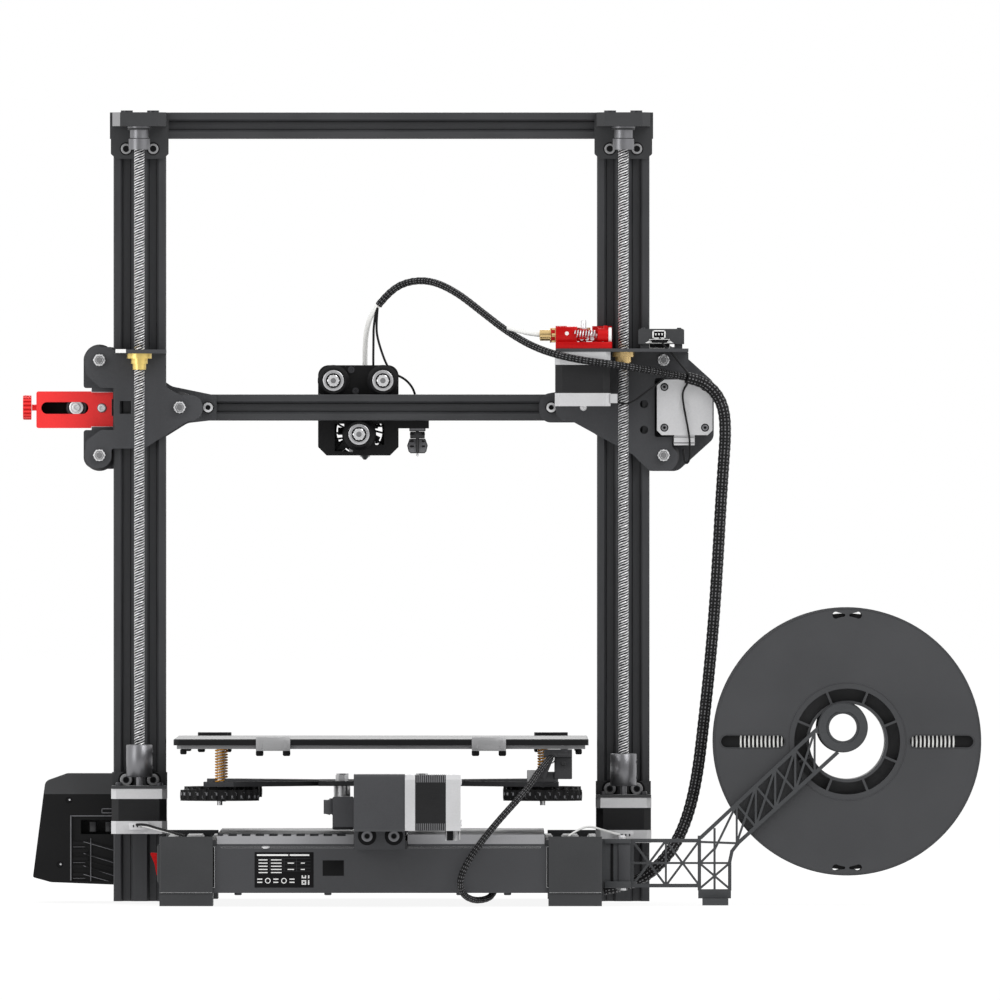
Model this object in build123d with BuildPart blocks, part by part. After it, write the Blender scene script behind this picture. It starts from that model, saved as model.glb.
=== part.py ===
from build123d import *
import os
from math import atan2, cos, degrees, hypot, pi, radians, sin, tan

# Bed-slinging filament printer with a portal of V-slot bars. Millimetres, +Z up, +Y to the rear, where the
# steppers and lead screws stand. While it is drawn, X = 0 lies midway between the uprights, Y = 0 on their
# middle plane and Z = 0 on the floor. At the end every piece moves by one shift, which puts the origin at the
# middle of the footprint.

# Driving dimensions
MODULE = 20.0                # V-slot bars are grids of 20 mm cells
UPRIGHT_X = 184.25           # upright centre from the middle
UPRIGHT_LOW = 1.5
TOP_BEAM_Z = 592.7           # centre height of the top beam
TOP_BEAM_LENGTH = 408.5
RAIL_X = 144.25              # base side rail centre from the middle
RAIL_BOTTOM = 9.9
BASE_FRONT = -250.0
BASE_REAR = 150.0
Y_RAIL_Z = 63.4              # centre height of the rail that carries the bed
Y_RAIL_FRONT = -300.0
Y_RAIL_REAR = 180.0
SCREW_Y = 33.3               # lead screws stand behind the uprights
SCREW_R = 4.0
SCREW_TOP = 584.0
Z_MOTOR_TOP = 87.7
LEFT_MOTOR_DROP = 6.8        # the left lift motor hangs this much lower than the right one
MOTOR = 42.3                 # stepper flange
X_BEAM_Z = 377.9             # height of the cross beam at rest
X_BEAM_Y = -25.0
X_BEAM_HALF = 204.25
X_PULLEY_X = -231.0
X_IDLER_X = 233.0
Y_PULLEY_Y = 202.0
Y_IDLER_Y = -320.0
Y_PULLEY_Z = 78.9
BED_Y = -60.0                # bed centre at rest, under the nozzle
BED_HALF = 157.5             # half of the glass
GLASS_BOTTOM = 121.1
GLASS_TOP = 125.8
CARRIAGE_LOW = 89.4          # underside of the plate that runs on the Y rail
CARRIAGE_TOP = 93.0
LEVEL_X = 122.7              # level screws from the bed centre
LEVEL_Y = 122.5
BED_WHEEL_X = 30.5
BED_WHEEL_Y = 55.0
BED_WHEEL_Z = 73.4
NOZZLE_X = 13.0
NOZZLE_Y = -60.0
NOZZLE_Z = 338.1
FAN_X = 17.3                 # axis of the cooling fan
FAN_Z = 360.0
FAN_WINDOW_R = 17.5
SPOOL_X = -353.7
SPOOL_Z = 124.1
SPOOL_FRONT = 35.0
SPOOL_WIDTH = 68.0
SPOOL_R = 101.7
ARM_FRONT = 105.5            # truss arm that holds the spool
ARM_THICK = 5.0
ARM_RING_X = -350.3
ARM_RING_Z = 134.8
EXTRUDER_X = -153.2
EXTRUDER_Y = 36.3
FLANGE_Z = 420.0             # underside of the shelf behind the left end plate
FILAMENT_Y = 42.3
FILAMENT_Z = 432.7
LEVER_PIN = (-170.5, 49.0)   # X and Y of the extruder lever's pivot
SWITCH_PIN_X = 169.0         # pivot of the mains switch
SWITCH_PIN_Z = 31.0

# Common sizes
SLIP = 0.3                   # gap between pieces that move past each other
BOLT_R = 2.5                 # M5 shank
BOLT_HOLE = 2.7
BOLT_HEAD_R = 4.3
WHEEL_R = 12.0
WHEEL_TREAD = 5.8
WHEEL_BEVEL = 2.2
WHEEL_BORE = 2.55
BELT_WIDE = 6.0
BELT_THICK = 1.4
BELT_INNER_R = 5.7
PLATE = 3.0                  # steel end plates
BELL = 7.7                   # stepper end bells
SHEET = 1.2

EAST = (1, 0, 0)
WEST = (-1, 0, 0)
REAR = (0, 1, 0)
FRONT = (0, -1, 0)
UP = (0, 0, 1)
DOWN = (0, 0, -1)

Z_WHEELS = [(153.8, X_BEAM_Z), (215.0, 413.9), (215.0, 341.4)]
X_WHEELS = [(36.9, 398.4), (-0.9, 398.4), (17.3, 357.4)]
LEVEL_POINTS = [(sx * LEVEL_X, BED_Y + sy * LEVEL_Y) for sy in (1, -1) for sx in (1, -1)]
BED_WHEELS = [(sx * BED_WHEEL_X, BED_Y + sy * BED_WHEEL_Y) for sy in (1, -1) for sx in (1, -1)]

finished = []


# ---------------------------------------------------------------- small helpers

def done(piece, name, cord=False):
    """Labels a finished piece and keeps it for the export at the end."""
    piece.part.label = name
    finished.append((piece, cord))


def block(x, y, z, mode=Mode.ADD):
    """Box between a low and a high value on each axis."""
    with Locations(((x[0] + x[1]) / 2, (y[0] + y[1]) / 2, (z[0] + z[1]) / 2)):
        Box(x[1] - x[0], y[1] - y[0], z[1] - z[0], mode=mode)


def rod(start, direction, radius, length, mode=Mode.ADD):
    """Round bar from a point along a direction."""
    with BuildSketch(Plane(start, z_dir=direction)) as section:
        Circle(radius)
    extrude(section.sketch, amount=length, mode=mode)


def ring(start, direction, outer, inner, length):
    """Tube from a point along a direction."""
    with BuildSketch(Plane(start, z_dir=direction)) as section:
        Circle(outer)
        Circle(inner, mode=Mode.SUBTRACT)
    extrude(section.sketch, amount=length)


def hexagon(start, direction, radius, height, mode=Mode.ADD):
    """Hexagonal prism, such as a nut or a socket."""
    with BuildSketch(Plane(start, z_dir=direction)) as section:
        RegularPolygon(radius, 6)
    extrude(section.sketch, amount=height, mode=mode)


def cap_screw(seat, direction, shank, head_r=BOLT_HEAD_R, head=4.6, shank_r=BOLT_R):
    """Socket screw: the head stands on its seat against the direction in which the shank runs."""
    away = tuple(-d for d in direction)
    top = tuple(s + a * head for s, a in zip(seat, away))
    rod(seat, away, head_r, head)
    rod(seat, direction, shank_r, shank)
    hexagon(top, direction, head_r * 0.52, head * 0.6, mode=Mode.SUBTRACT)


def v_slot():
    """Section of one slot, its mouth on y = 0 and its floor below."""
    with BuildSketch() as slot:
        with BuildLine():
            Polyline(
                (-4.6, 0.1), (-4.6, 0), (-3.1, -1.8), (-5.5, -1.8), (-5.5, -2.6), (-2.7, -5.4), (-2.7, -6.1),
                (2.7, -6.1), (2.7, -5.4), (5.5, -2.6), (5.5, -1.8), (3.1, -1.8), (4.6, 0), (4.6, 0.1),
                close=True,
            )
        make_face()
    return slot.sketch


def bar_section(cells_wide, cells_deep, core_wide=0.0, core_deep=0.0):
    """Section of a V-slot bar that is a grid of cells, with an optional hollow core."""
    half_wide = cells_wide * MODULE / 2
    half_deep = cells_deep * MODULE / 2
    slot = v_slot()
    with BuildSketch() as section:
        RectangleRounded(2 * half_wide, 2 * half_deep, 1.0)
        with GridLocations(MODULE, MODULE, cells_wide, cells_deep):
            Circle(2.1, mode=Mode.SUBTRACT)
        for step in range(cells_wide):
            across = (step + 0.5) * MODULE - half_wide
            with Locations(Location((across, half_deep, 0)), Location((across, -half_deep, 0), (0, 0, 180))):
                add(slot, mode=Mode.SUBTRACT)
        for step in range(cells_deep):
            along = (step + 0.5) * MODULE - half_deep
            with Locations(
                Location((half_wide, along, 0), (0, 0, -90)), Location((-half_wide, along, 0), (0, 0, 90))
            ):
                add(slot, mode=Mode.SUBTRACT)
        if core_wide:
            Rectangle(core_wide, core_deep, mode=Mode.SUBTRACT)
    return section.sketch


SECTION_2020 = bar_section(1, 1)
SECTION_2040 = bar_section(2, 1, 6.0, 12.0)
SECTION_4040 = bar_section(2, 2, 10.0, 25.0)


def bar(section, start, across, along, length):
    """V-slot bar from a point, with its section's width across and its length along."""
    with BuildSketch(Plane(start, x_dir=across, z_dir=along)) as end:
        add(section)
    extrude(end.sketch, amount=length)


def upright_plate(points, radii, rear, thick, mode=Mode.ADD):
    """Flat plate parallel to the uprights' front, with rounded corners and its rear face at Y = rear."""
    with BuildSketch(Plane.XZ.offset(-rear)) as outline:
        with BuildLine():
            FilletPolyline(*points, radius=radii, close=True)
        make_face()
    extrude(outline.sketch, amount=thick, mode=mode)


def cut_square(plane, size, corner, depth):
    """Square prism with cut corners, from a plane back against its normal."""
    with BuildSketch(plane) as outline:
        Rectangle(size, size)
        chamfer(outline.vertices(), corner)
    extrude(outline.sketch, amount=-depth)


def stepper(face, direction, bells, stack, shaft):
    """Stepper motor whose mounting face stands on a point, with its shaft along the direction."""
    x_dir = REAR if direction in (EAST, WEST) else EAST
    plane = Plane(face, x_dir=x_dir, z_dir=direction)
    front, back = bells
    cut_square(plane, MOTOR, 3.6, front)
    cut_square(plane.offset(-front), MOTOR - 0.5, 5.4, stack)
    cut_square(plane.offset(-front - stack), MOTOR, 3.6, back)
    rod(face, direction, 11.0, 2.0)
    if shaft:
        rod(face, direction, 2.5, shaft)
    else:
        rod(tuple(f + 2.0 * d for f, d in zip(face, direction)), tuple(-d for d in direction), 2.8, 8, Mode.SUBTRACT)


def v_wheel(centre, axis):
    """Wheel whose two bevels run in the mouth of a slot, with the bore for its bearings' bolt."""
    with Locations(Plane(centre, z_dir=axis)):
        Cylinder(WHEEL_R, WHEEL_TREAD)
        with Locations((0, 0, (WHEEL_TREAD + WHEEL_BEVEL) / 2)):
            Cone(WHEEL_R, WHEEL_R - WHEEL_BEVEL, WHEEL_BEVEL)
        with Locations((0, 0, -(WHEEL_TREAD + WHEEL_BEVEL) / 2)):
            Cone(WHEEL_R - WHEEL_BEVEL, WHEEL_R, WHEEL_BEVEL)
        Cylinder(WHEEL_BORE, 2 * WHEEL_TREAD, mode=Mode.SUBTRACT)


def wheel_bolt(centre, axis, spacer_front, spacer_back, front_end, back_end):
    """Bolt through a wheel, with a spacer and an end (head or nut) on each side of it."""
    half = WHEEL_TREAD / 2 + WHEEL_BEVEL + 0.1
    ahead = tuple(-a for a in axis)
    for direction, spacer, end in ((ahead, spacer_front, front_end), (axis, spacer_back, back_end)):
        edge = tuple(c + d * half for c, d in zip(centre, direction))
        plate = tuple(e + d * spacer for e, d in zip(edge, direction))
        outside = tuple(p + d * end[0] for p, d in zip(plate, direction))
        rod(edge, direction, 4.0, spacer)
        rod(centre, direction, BOLT_R, half + spacer + end[0] + end[1] / 2)
        if end[1]:
            hexagon(outside, direction, 4.6, end[1])


def strut(start, end, wide):
    """Straight bar of a truss, in the plane of the sketch."""
    middle = ((start[0] + end[0]) / 2, (start[1] + end[1]) / 2, 0)
    turn = degrees(atan2(end[1] - start[1], end[0] - start[0]))
    with Locations(Location(middle, (0, 0, turn))):
        Rectangle(hypot(end[0] - start[0], end[1] - start[1]) + wide * 0.6, wide)


def corner_radii(route):
    """Largest arcs that a route's runs allow at its corners."""
    radii = []
    for before, corner, after in zip(route, route[1:], route[2:]):
        run_in = Vector(corner) - Vector(before)
        run_out = Vector(after) - Vector(corner)
        turn = radians(run_in.get_angle(run_out))
        radii.append(0.45 * min(run_in.length, run_out.length) / tan(turn / 2))
    return radii


def tube(route, diameter, name):
    """Cord along a route: straight runs joined by tangent arcs."""
    radii = corner_radii(route)
    with BuildLine() as path:
        FilletPolyline(*route, radius=radii)
    wire = path.wire()
    with BuildSketch(Plane(wire @ 0, z_dir=wire % 0)) as section:
        Circle(diameter / 2)
    swept = sweep(section.sketch, path=wire, mode=Mode.PRIVATE)
    add(swept)
    wanted = pi * diameter**2 / 4 * wire.length
    print(name, "length", round(wire.length, 1), "volume ratio", round(swept.volume / wanted, 3))
    print("  radii", [round(r, 1) for r in radii])


# ---------------------------------------------------------------- base

def make_base_rails():
    """Two 40 x 40 side rails and the two cross bars under the Y rail."""
    length = BASE_REAR - BASE_FRONT
    z = RAIL_BOTTOM + MODULE
    with BuildPart() as base_rails:
        for side in (1, -1):
            bar(SECTION_4040, (side * RAIL_X, BASE_FRONT, z), EAST, REAR, length)
        block((139, 165), (62, 112), (15, 47), Mode.SUBTRACT)
        block((-165, -162.8), (11.5, 55.5), (46.3, 50.5), Mode.SUBTRACT)
        for y in (-200, 120):
            bar(SECTION_2020, (-124.2, y, Y_RAIL_Z - 2 * MODULE + 10), REAR, EAST, 248.4)
    done(base_rails, "base_rails")


def make_corner_feet():
    """Plastic corner pieces that close the side rails' ends, with the rubber-soled foot block under each."""
    with BuildPart() as corner_feet:
        for side in (1, -1):
            for end, out in ((BASE_REAR, 1), (BASE_FRONT, -1)):
                x = sorted((side * 127.0, side * 167.4))
                inner = sorted((side * 128.0, side * 163.8))
                skirt = sorted((side * 164.45, side * 167.4))
                block(x, sorted((end, end + out * 5)), (RAIL_BOTTOM - 0.4, 52.6))
                block(skirt, sorted((end, end - out * 16)), (RAIL_BOTTOM - 0.4, 49))
                block(x, sorted((end + out * 4.2, end - out * 44)), (0, RAIL_BOTTOM - 0.4))
                block(inner, sorted((end, end - out * 40)), (RAIL_BOTTOM - 0.4, RAIL_BOTTOM))
        outer = corner_feet.edges().filter_by(Axis.Z).filter_by(lambda edge: abs(edge.center().X) > 167)
        chamfer(outer.filter_by(lambda edge: edge.center().Z > 20), 0.8)
    done(corner_feet, "corner_feet")


def make_base_tray():
    """Folded sheet tray between the rails, with its rear and front walls."""
    with BuildPart() as base_tray:
        block((-124, 124), (BASE_FRONT, BASE_REAR + SHEET), (RAIL_BOTTOM, RAIL_BOTTOM + SHEET))
        block((-126.8, 126.8), (BASE_REAR, BASE_REAR + SHEET), (RAIL_BOTTOM, 45.8))
        block((-126.8, 126.8), (BASE_FRONT - SHEET, BASE_FRONT), (RAIL_BOTTOM, 45.8))
        block((-8, 8), (BASE_REAR - 45, BASE_REAR - 25), (RAIL_BOTTOM - 1, 12), Mode.SUBTRACT)
        block((-95, -75), (112.5, 131), (RAIL_BOTTOM - 1, 12), Mode.SUBTRACT)
        for y in (BASE_FRONT, BASE_REAR):
            block((-20.4, 20.4), (y - 3, y + 3), (43.2, 47), Mode.SUBTRACT)
    done(base_tray, "base_tray")


def make_base_cover():
    """Folded top sheet in two halves, one on each side of the Y rail, vented along its rear edge."""
    with BuildPart() as base_cover:
        for low, high in ((-124.0, -20.4), (20.4, 124.0)):
            with BuildSketch(Plane.YZ.offset(low)):
                with BuildLine():
                    Polyline(
                        (151.2, 45.9), (151.2, 47), (146.8, 54.1), (-246.8, 54.1), (-251.2, 47), (-251.2, 45.9),
                        (-249.8, 45.9), (-249.8, 46.6), (-246.2, 52.6), (146.2, 52.6), (149.8, 46.6),
                        (149.8, 45.9), close=True,
                    )
                make_face()
            extrude(amount=high - low)
        for step in range(10):
            x = 26.5 + 10.3 * step
            block((x, x + 6.5), (96, 147.5), (52.6, 54.2), Mode.SUBTRACT)
    done(base_cover, "base_cover")


def make_electronics():
    """Power supply in its case and the main board on its posts, inside the tray."""
    with BuildPart() as electronics:
        block((-118, -22), (-172, 43), (11.2, 41.5))
        block((28, 118), (-70, 60), (17, 18.6))
        for x in (33, 113):
            for y in (-65, 55):
                rod((x, y, 11.2), UP, 3.0, 5.8)
        for step in range(5):
            block((40, 54), (-50 + 20 * step, -36 + 20 * step), (18.6, 30))
        block((70, 96), (-30, -4), (18.6, 22))
        block((30, 42.5), (48, 60), (18.6, 31))
    done(electronics, "electronics")


def make_y_rail():
    """40 x 40 rail along the middle of the base, hollow for the belt's lower strand."""
    with BuildPart() as y_rail:
        start = (0, Y_RAIL_FRONT, Y_RAIL_Z)
        bar(SECTION_4040, start, EAST, REAR, Y_RAIL_REAR - Y_RAIL_FRONT)
    done(y_rail, "y_rail")


def make_y_brackets():
    """Motor box on the rail's rear end, idler box on its front end and the limit switch beside it."""
    with BuildPart() as y_brackets:
        block((-18.6, 20), (180, 184), (43.3, 100.3))
        block((-18.6, 20), (184, 222), (57.3, 100.3))
        block((-15.6, 17), (184, 219), (60.3, 97.3), Mode.SUBTRACT)
        block((-7, 7), (179, 185), (67, 92), Mode.SUBTRACT)
        rod((-19, Y_PULLEY_Y, Y_PULLEY_Z), EAST, 11.3, 4, Mode.SUBTRACT)
        for x in (-10.1, 10.1):
            rod((x, 179, 53.4), REAR, BOLT_HOLE, 6, Mode.SUBTRACT)
        chamfer(y_brackets.edges().filter_by(Axis.X).filter_by(lambda e: e.center().Y > 221), 1.5)
        block((-20, 20), (-304, -300), (43.4, 92))
        block((-13, 13), (-334, -304), (64, 94))
        block((-9, 9), (-331, -304), (67, 91), Mode.SUBTRACT)
        block((-7, 7), (-305, -299), (67, 91), Mode.SUBTRACT)
        block((20.3, 36.3), (160, 178), (58, 83.1))
        block((36.3, 43), (164, 174), (70, 80.6))
        chamfer(y_brackets.edges().filter_by(Axis.Y).filter_by(lambda e: 20 < e.center().X < 40), 1.0)
    done(y_brackets, "y_brackets")


def make_y_motor():
    """Stepper that drives the bed, beside the motor box, with its connector under the rear bell."""
    with BuildPart() as y_motor:
        stepper((-18.6, Y_PULLEY_Y, Y_PULLEY_Z), EAST, (BELL, 11.0), 23.2, 32)
        block((-58, -49), (196, 208), (50.2, 58))
    done(y_motor, "y_motor")


def make_y_belt():
    """Closed belt of the bed, its drive pulley and its idler."""
    with BuildPart() as y_belt:
        middle = ((Y_PULLEY_Y + Y_IDLER_Y) / 2, Y_PULLEY_Z)
        span = Y_PULLEY_Y - Y_IDLER_Y
        with BuildSketch(Plane.YZ.offset(-BELT_WIDE / 2)):
            with Locations(middle):
                SlotCenterToCenter(span, 2 * (BELT_INNER_R + BELT_THICK))
                SlotCenterToCenter(span, 2 * BELT_INNER_R, mode=Mode.SUBTRACT)
        extrude(amount=BELT_WIDE)
        for y, bore in ((Y_PULLEY_Y, 2.6), (Y_IDLER_Y, 2.0)):
            ring((-3.4, y, Y_PULLEY_Z), EAST, BELT_INNER_R - 0.1, bore, 6.8)
            for x in (-4.4, 3.4):
                ring((x, y, Y_PULLEY_Z), EAST, 8.0, bore, 1.0)
    done(y_belt, "y_belt")


def make_power_inlet():
    """Mains socket and switch frame, let into the outer side of the right rail."""
    with BuildPart() as power_inlet:
        block((164.35, 167.0), (60.5, 113.5), (13.5, 48.5))
        block((166.9, 169.8), (64, 111), (17, 46))
        block((140, 164.4), (63, 111), (16, 46))
        block((150, 170), (66, 90), (20, 42), Mode.SUBTRACT)
        block((158, 170), (94.5, 107.5), (20.5, 41.5), Mode.SUBTRACT)
        for y in (72, 78, 84):
            block((149.5, 164), (y - 1, y + 1), (29, 33))
        chamfer(power_inlet.faces().sort_by(Axis.X)[-1].outer_wire().edges(), 1.2)
        rod((SWITCH_PIN_X, 94.4, SWITCH_PIN_Z), REAR, 0.7, 13.2)
    done(power_inlet, "power_inlet")


def make_power_switch():
    """Rocker of the mains switch, a shallow V that tips about a pin along Z's middle height."""
    with BuildPart() as power_switch:
        with BuildSketch(Plane.XZ.offset(-107.1)):
            with BuildLine():
                Polyline((161, 39), (173.6, 39.8), (175.1, 39.4), (171.6, 31), (170.2, 22.6), (168.8, 22.8),
                         (161, 24), close=True)
            make_face()
        extrude(amount=12.2)
        fillet(power_switch.edges().filter_by(Axis.Y).filter_by(lambda e: e.center().X > 168), 0.6)
        rod((SWITCH_PIN_X, 94, SWITCH_PIN_Z), REAR, 0.7 + SLIP, 14, Mode.SUBTRACT)
    done(power_switch, "power_switch")


# ---------------------------------------------------------------- portal

def make_uprights():
    """Two 20 x 40 uprights beside the base rails."""
    with BuildPart() as uprights:
        for side in (1, -1):
            start = (side * UPRIGHT_X, 0, UPRIGHT_LOW)
            bar(SECTION_2040, start, EAST, UP, TOP_BEAM_Z - MODULE / 2 - UPRIGHT_LOW)
    done(uprights, "uprights")


def make_top_beam():
    """20 x 20 beam across the uprights' tops, with a plastic cap on each end."""
    half = TOP_BEAM_LENGTH / 2
    with BuildPart() as top_beam:
        bar(SECTION_2020, (-half, 0, TOP_BEAM_Z), REAR, EAST, TOP_BEAM_LENGTH)
        for side in (1, -1):
            for offset in (-10, 10):
                rod((side * UPRIGHT_X + offset, 0, TOP_BEAM_Z - 12), UP, BOLT_HOLE, 24, Mode.SUBTRACT)
            block(sorted((side * half, side * (half + 2.75))), (-10, 10), (TOP_BEAM_Z - 10, TOP_BEAM_Z + 10))
    done(top_beam, "top_beam")


def motor_face(side):
    """Height of the face that carries the lift motor of one side."""
    return Z_MOTOR_TOP - (LEFT_MOTOR_DROP if side < 0 else 0)


def make_screw_brackets():
    """Lead screw holders at the uprights' tops and motor mounts at their feet."""
    with BuildPart() as screw_brackets:
        for side in (1, -1):
            x = side * UPRIGHT_X
            upright_plate(
                [(x - 22, 602.2), (x - 22, 571), (x - 18, 567.3), (x + 18, 567.3), (x + 22, 571), (x + 22, 602.2)],
                [0.5, 1, 1, 1, 1, 0.5], 14, 4,
            )
            with BuildSketch(Plane.XY.offset(591.8)):
                with BuildLine():
                    Polyline(
                        (x - 20.4, 14), (x - 20.4, SCREW_Y + 7), (x - 14.5, SCREW_Y + 13),
                        (x + 14.5, SCREW_Y + 13), (x + 20.4, SCREW_Y + 7), (x + 20.4, 14), close=True,
                    )
                make_face()
            extrude(amount=10.5)
            rod((x, SCREW_Y, 589), UP, 8.8, 3)
            rod((x, SCREW_Y, 582.2), UP, 7.0, 7)
            rod((x, SCREW_Y, 574), UP, 8.0, 8.3)
            rod((x, SCREW_Y, 573), UP, SCREW_R + SLIP, 13.5, Mode.SUBTRACT)
            for offset in (-10.3, 10.3):
                rod((x + offset, 9, 574.9), REAR, BOLT_HOLE, 6, Mode.SUBTRACT)
            face = motor_face(side)
            block((x - 21, x + 21), (10, 55), (face, face + 2.2))
            block((x - 21, x + 21), (10, 13), (face, face + 12.3))
            rod((x, SCREW_Y, face - 1), UP, 11.3, 6, Mode.SUBTRACT)
            for offset in (-10.3, 10.3):
                rod((x + offset, 9, face + 6.4), REAR, BOLT_HOLE, 6, Mode.SUBTRACT)
    done(screw_brackets, "screw_brackets")


def make_z_motors():
    """Two steppers under the lead screws, with the connector on each rear face."""
    with BuildPart() as z_motors:
        for side in (1, -1):
            x = side * UPRIGHT_X
            face = motor_face(side)
            stepper((x, SCREW_Y, face), UP, (BELL, 9.7), 16.9, 0)
            block((x - 7, x + 7), (SCREW_Y + 20, SCREW_Y + 26), (face - 30.7, face - 25.2))
    done(z_motors, "z_motors")


def make_lead_screw(side, name):
    """Lead screw, its coupler and the motor shaft that turns it."""
    x = side * UPRIGHT_X
    face = motor_face(side)
    low = face + 20.3
    with BuildPart() as lead_screw:
        rod((x, SCREW_Y, low), UP, SCREW_R, SCREW_TOP - low)
        ring((x, SCREW_Y, face + 8.8), UP, 10.0, SCREW_R + 0.05, 24.7)
        ring((x, SCREW_Y, face + 8.8), UP, SCREW_R + 0.5, 2.5, 11.2)
        rod((x, SCREW_Y, face - 4.2), UP, 2.5, 24)
    done(lead_screw, name)


def make_frame_screws():
    """Screws that hold the portal: top beam, lead screw holders and motor mounts, and the Y motor box."""
    with BuildPart() as frame_screws:
        for side in (1, -1):
            x = side * UPRIGHT_X
            for offset in (-10, 10):
                cap_screw((x + offset, 0, TOP_BEAM_Z + 10), DOWN, 19.5, head_r=4.6, head=1.6)
            for offset in (-10.3, 10.3):
                cap_screw((x + offset, 14, 574.9), FRONT, 8, head_r=3.9, head=3)
                cap_screw((x + offset, 13, motor_face(side) + 6.4), FRONT, 7.5, head_r=4.15, head=4.6)
        for x in (-10.1, 10.1):
            cap_screw((x, 184, 53.4), FRONT, 4, head_r=3.8, head=4.6)
    done(frame_screws, "frame_screws")


# ---------------------------------------------------------------- spool and its arm

def make_spool_arm():
    """Truss bracket on the base's side, its foot, its sloping arm and the tube that the spool hangs on."""
    with BuildPart() as spool_arm:
        block((-189.4, -164.35), (100, 116), (13.6, 50.3))
        with BuildSketch(Plane.XZ.offset(-(ARM_FRONT + ARM_THICK))):
            low, mid, high = 14.9, 32.0, 49.0
            left, centre, right = -190.6, -216.1, -241.5
            for z in (low, high):
                strut((-188, z), (right, z), 2.8)
            strut((left, mid), (-264.5, mid), 1.6)
            strut((left, low), (left, high), 2.4)
            strut((centre, low), (centre, high), 1.6)
            for bay in ((left, centre), (centre, right)):
                strut((bay[0], low), (bay[1], high), 1.7)
                strut((bay[0], high), (bay[1], low), 1.7)
            strut((right, 12), (right, 52), 2.6)
            strut((-264.5, 12), (-264.5, 33), 2.6)
            strut((right, 12.4), (-264.5, mid), 1.7)
            strut((right, mid), (-264.5, 12.4), 1.7)
            strut((-253, 12), (-253, 58), 1.7)
            with Locations((-253.05, 8.7)):
                Rectangle(24.9, 7.0)
            strut((-242.8, 51.5), (-334, 136.6), 2.8)
            strut((-264.5, 33), (-266.2, 41), 2.6)
            strut((-266.2, 41), (-271.5, 47.8), 2.6)
            strut((-271.5, 47.8), (-346, 115.6), 2.8)
            strut((-242, mid), (-253, 43), 1.7)
            bars = (-269.8, -284.3, -299.0, -314.2, -328.9)
            tops = [51.5 + (-242.8 - x) * 0.933 for x in bars]
            bottoms = [47.8 + (-271.5 - x) * 0.91 for x in bars]
            bottoms[0] = 47.0
            for x, top, bottom in zip(bars, tops, bottoms):
                strut((x, bottom), (x, top), 1.6)
            for step in range(len(bars) - 1):
                strut((bars[step], bottoms[step]), (bars[step + 1], tops[step + 1]), 1.7)
                strut((bars[step], tops[step]), (bars[step + 1], bottoms[step + 1]), 1.7)
            strut((-253, 42), (bars[0], tops[0]), 1.7)
            strut((-243, 48), (bars[0], bottoms[0]), 1.7)
            strut((bars[-1], tops[-1]), (-340, 128), 1.7)
            with Locations((ARM_RING_X, ARM_RING_Z)):
                Circle(19.0)
        extrude(amount=ARM_THICK)
        rod((ARM_RING_X, ARM_FRONT + ARM_THICK + 1, ARM_RING_Z), FRONT, 10.4, 20, Mode.SUBTRACT)
        block((-263.4, -243.8), (ARM_FRONT - 8, ARM_FRONT + 12), (0, 5.2))
        tube_length = SPOOL_WIDTH + 12
        ring((ARM_RING_X, ARM_FRONT, ARM_RING_Z), FRONT, 17.2, 15.0, tube_length)
        ring((ARM_RING_X, ARM_FRONT, ARM_RING_Z), FRONT, 17.2, 10.4, 3)
        ring((ARM_RING_X, ARM_FRONT - tube_length, ARM_RING_Z), REAR, 19.6, 15.0, 3)
    done(spool_arm, "spool_arm")


def make_spool():
    """Spool with two flanges, a drum with eight ribs, and the wound filament on it."""
    rear = SPOOL_FRONT + SPOOL_WIDTH
    middle = (SPOOL_X, SPOOL_Z)
    with BuildPart() as spool:
        for y in (SPOOL_FRONT, rear - 3):
            with BuildSketch(Plane.XZ.offset(-(y + 3))):
                with Locations(middle):
                    Circle(SPOOL_R)
                    Circle(40.2, mode=Mode.SUBTRACT)
                for side in (1, -1):
                    with Locations((SPOOL_X + side * 71.6, SPOOL_Z)):
                        SlotOverall(48.0, 8.8, mode=Mode.SUBTRACT)
                    for lean in (1, -1):
                        with Locations((SPOOL_X, SPOOL_Z + side * 95.8)):
                            Polygon((lean * 8.9, 2.58), (lean * 2.8, 1.08), (lean * 2.8, -1.08),
                                    (lean * 8.9, -2.58), align=None, mode=Mode.SUBTRACT)
                        with Locations((SPOOL_X + lean * 8.6, SPOOL_Z + side * 95.8)):
                            Circle(2.6, mode=Mode.SUBTRACT)
                        with Locations((SPOOL_X + lean * 2.6, SPOOL_Z + side * 95.8)):
                            Circle(1.1, mode=Mode.SUBTRACT)
            extrude(amount=3)
        with BuildSketch(Plane.XZ.offset(-rear)):
            with Locations(middle):
                Circle(42.2)
                Circle(40.2, mode=Mode.SUBTRACT)
                Circle(31.0)
                Circle(28.8, mode=Mode.SUBTRACT)
            for step in range(8):
                turn = 22.5 + 45 * step
                reach = 35.6
                spot = (SPOOL_X + reach * cos(radians(turn)), SPOOL_Z + reach * sin(radians(turn)), 0)
                with Locations(Location(spot, (0, 0, turn))):
                    Rectangle(10.4, 1.8)
        extrude(amount=SPOOL_WIDTH)
        with BuildSketch(Plane.XZ.offset(-(rear - 18))):
            with Locations(middle):
                Circle(40.8)
                Circle(30.4, mode=Mode.SUBTRACT)
        extrude(amount=2)
        ring((SPOOL_X, rear - 3.3, SPOOL_Z), FRONT, 83.0, 42.5, SPOOL_WIDTH - 6.6)
    done(spool, "spool")


# ---------------------------------------------------------------- moving gantry

def make_x_beam():
    """20 x 20 beam that the print head runs on."""
    with BuildPart() as x_beam:
        bar(SECTION_2020, (-X_BEAM_HALF, X_BEAM_Y, X_BEAM_Z), REAR, EAST, 2 * X_BEAM_HALF)
    done(x_beam, "x_beam")


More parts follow.
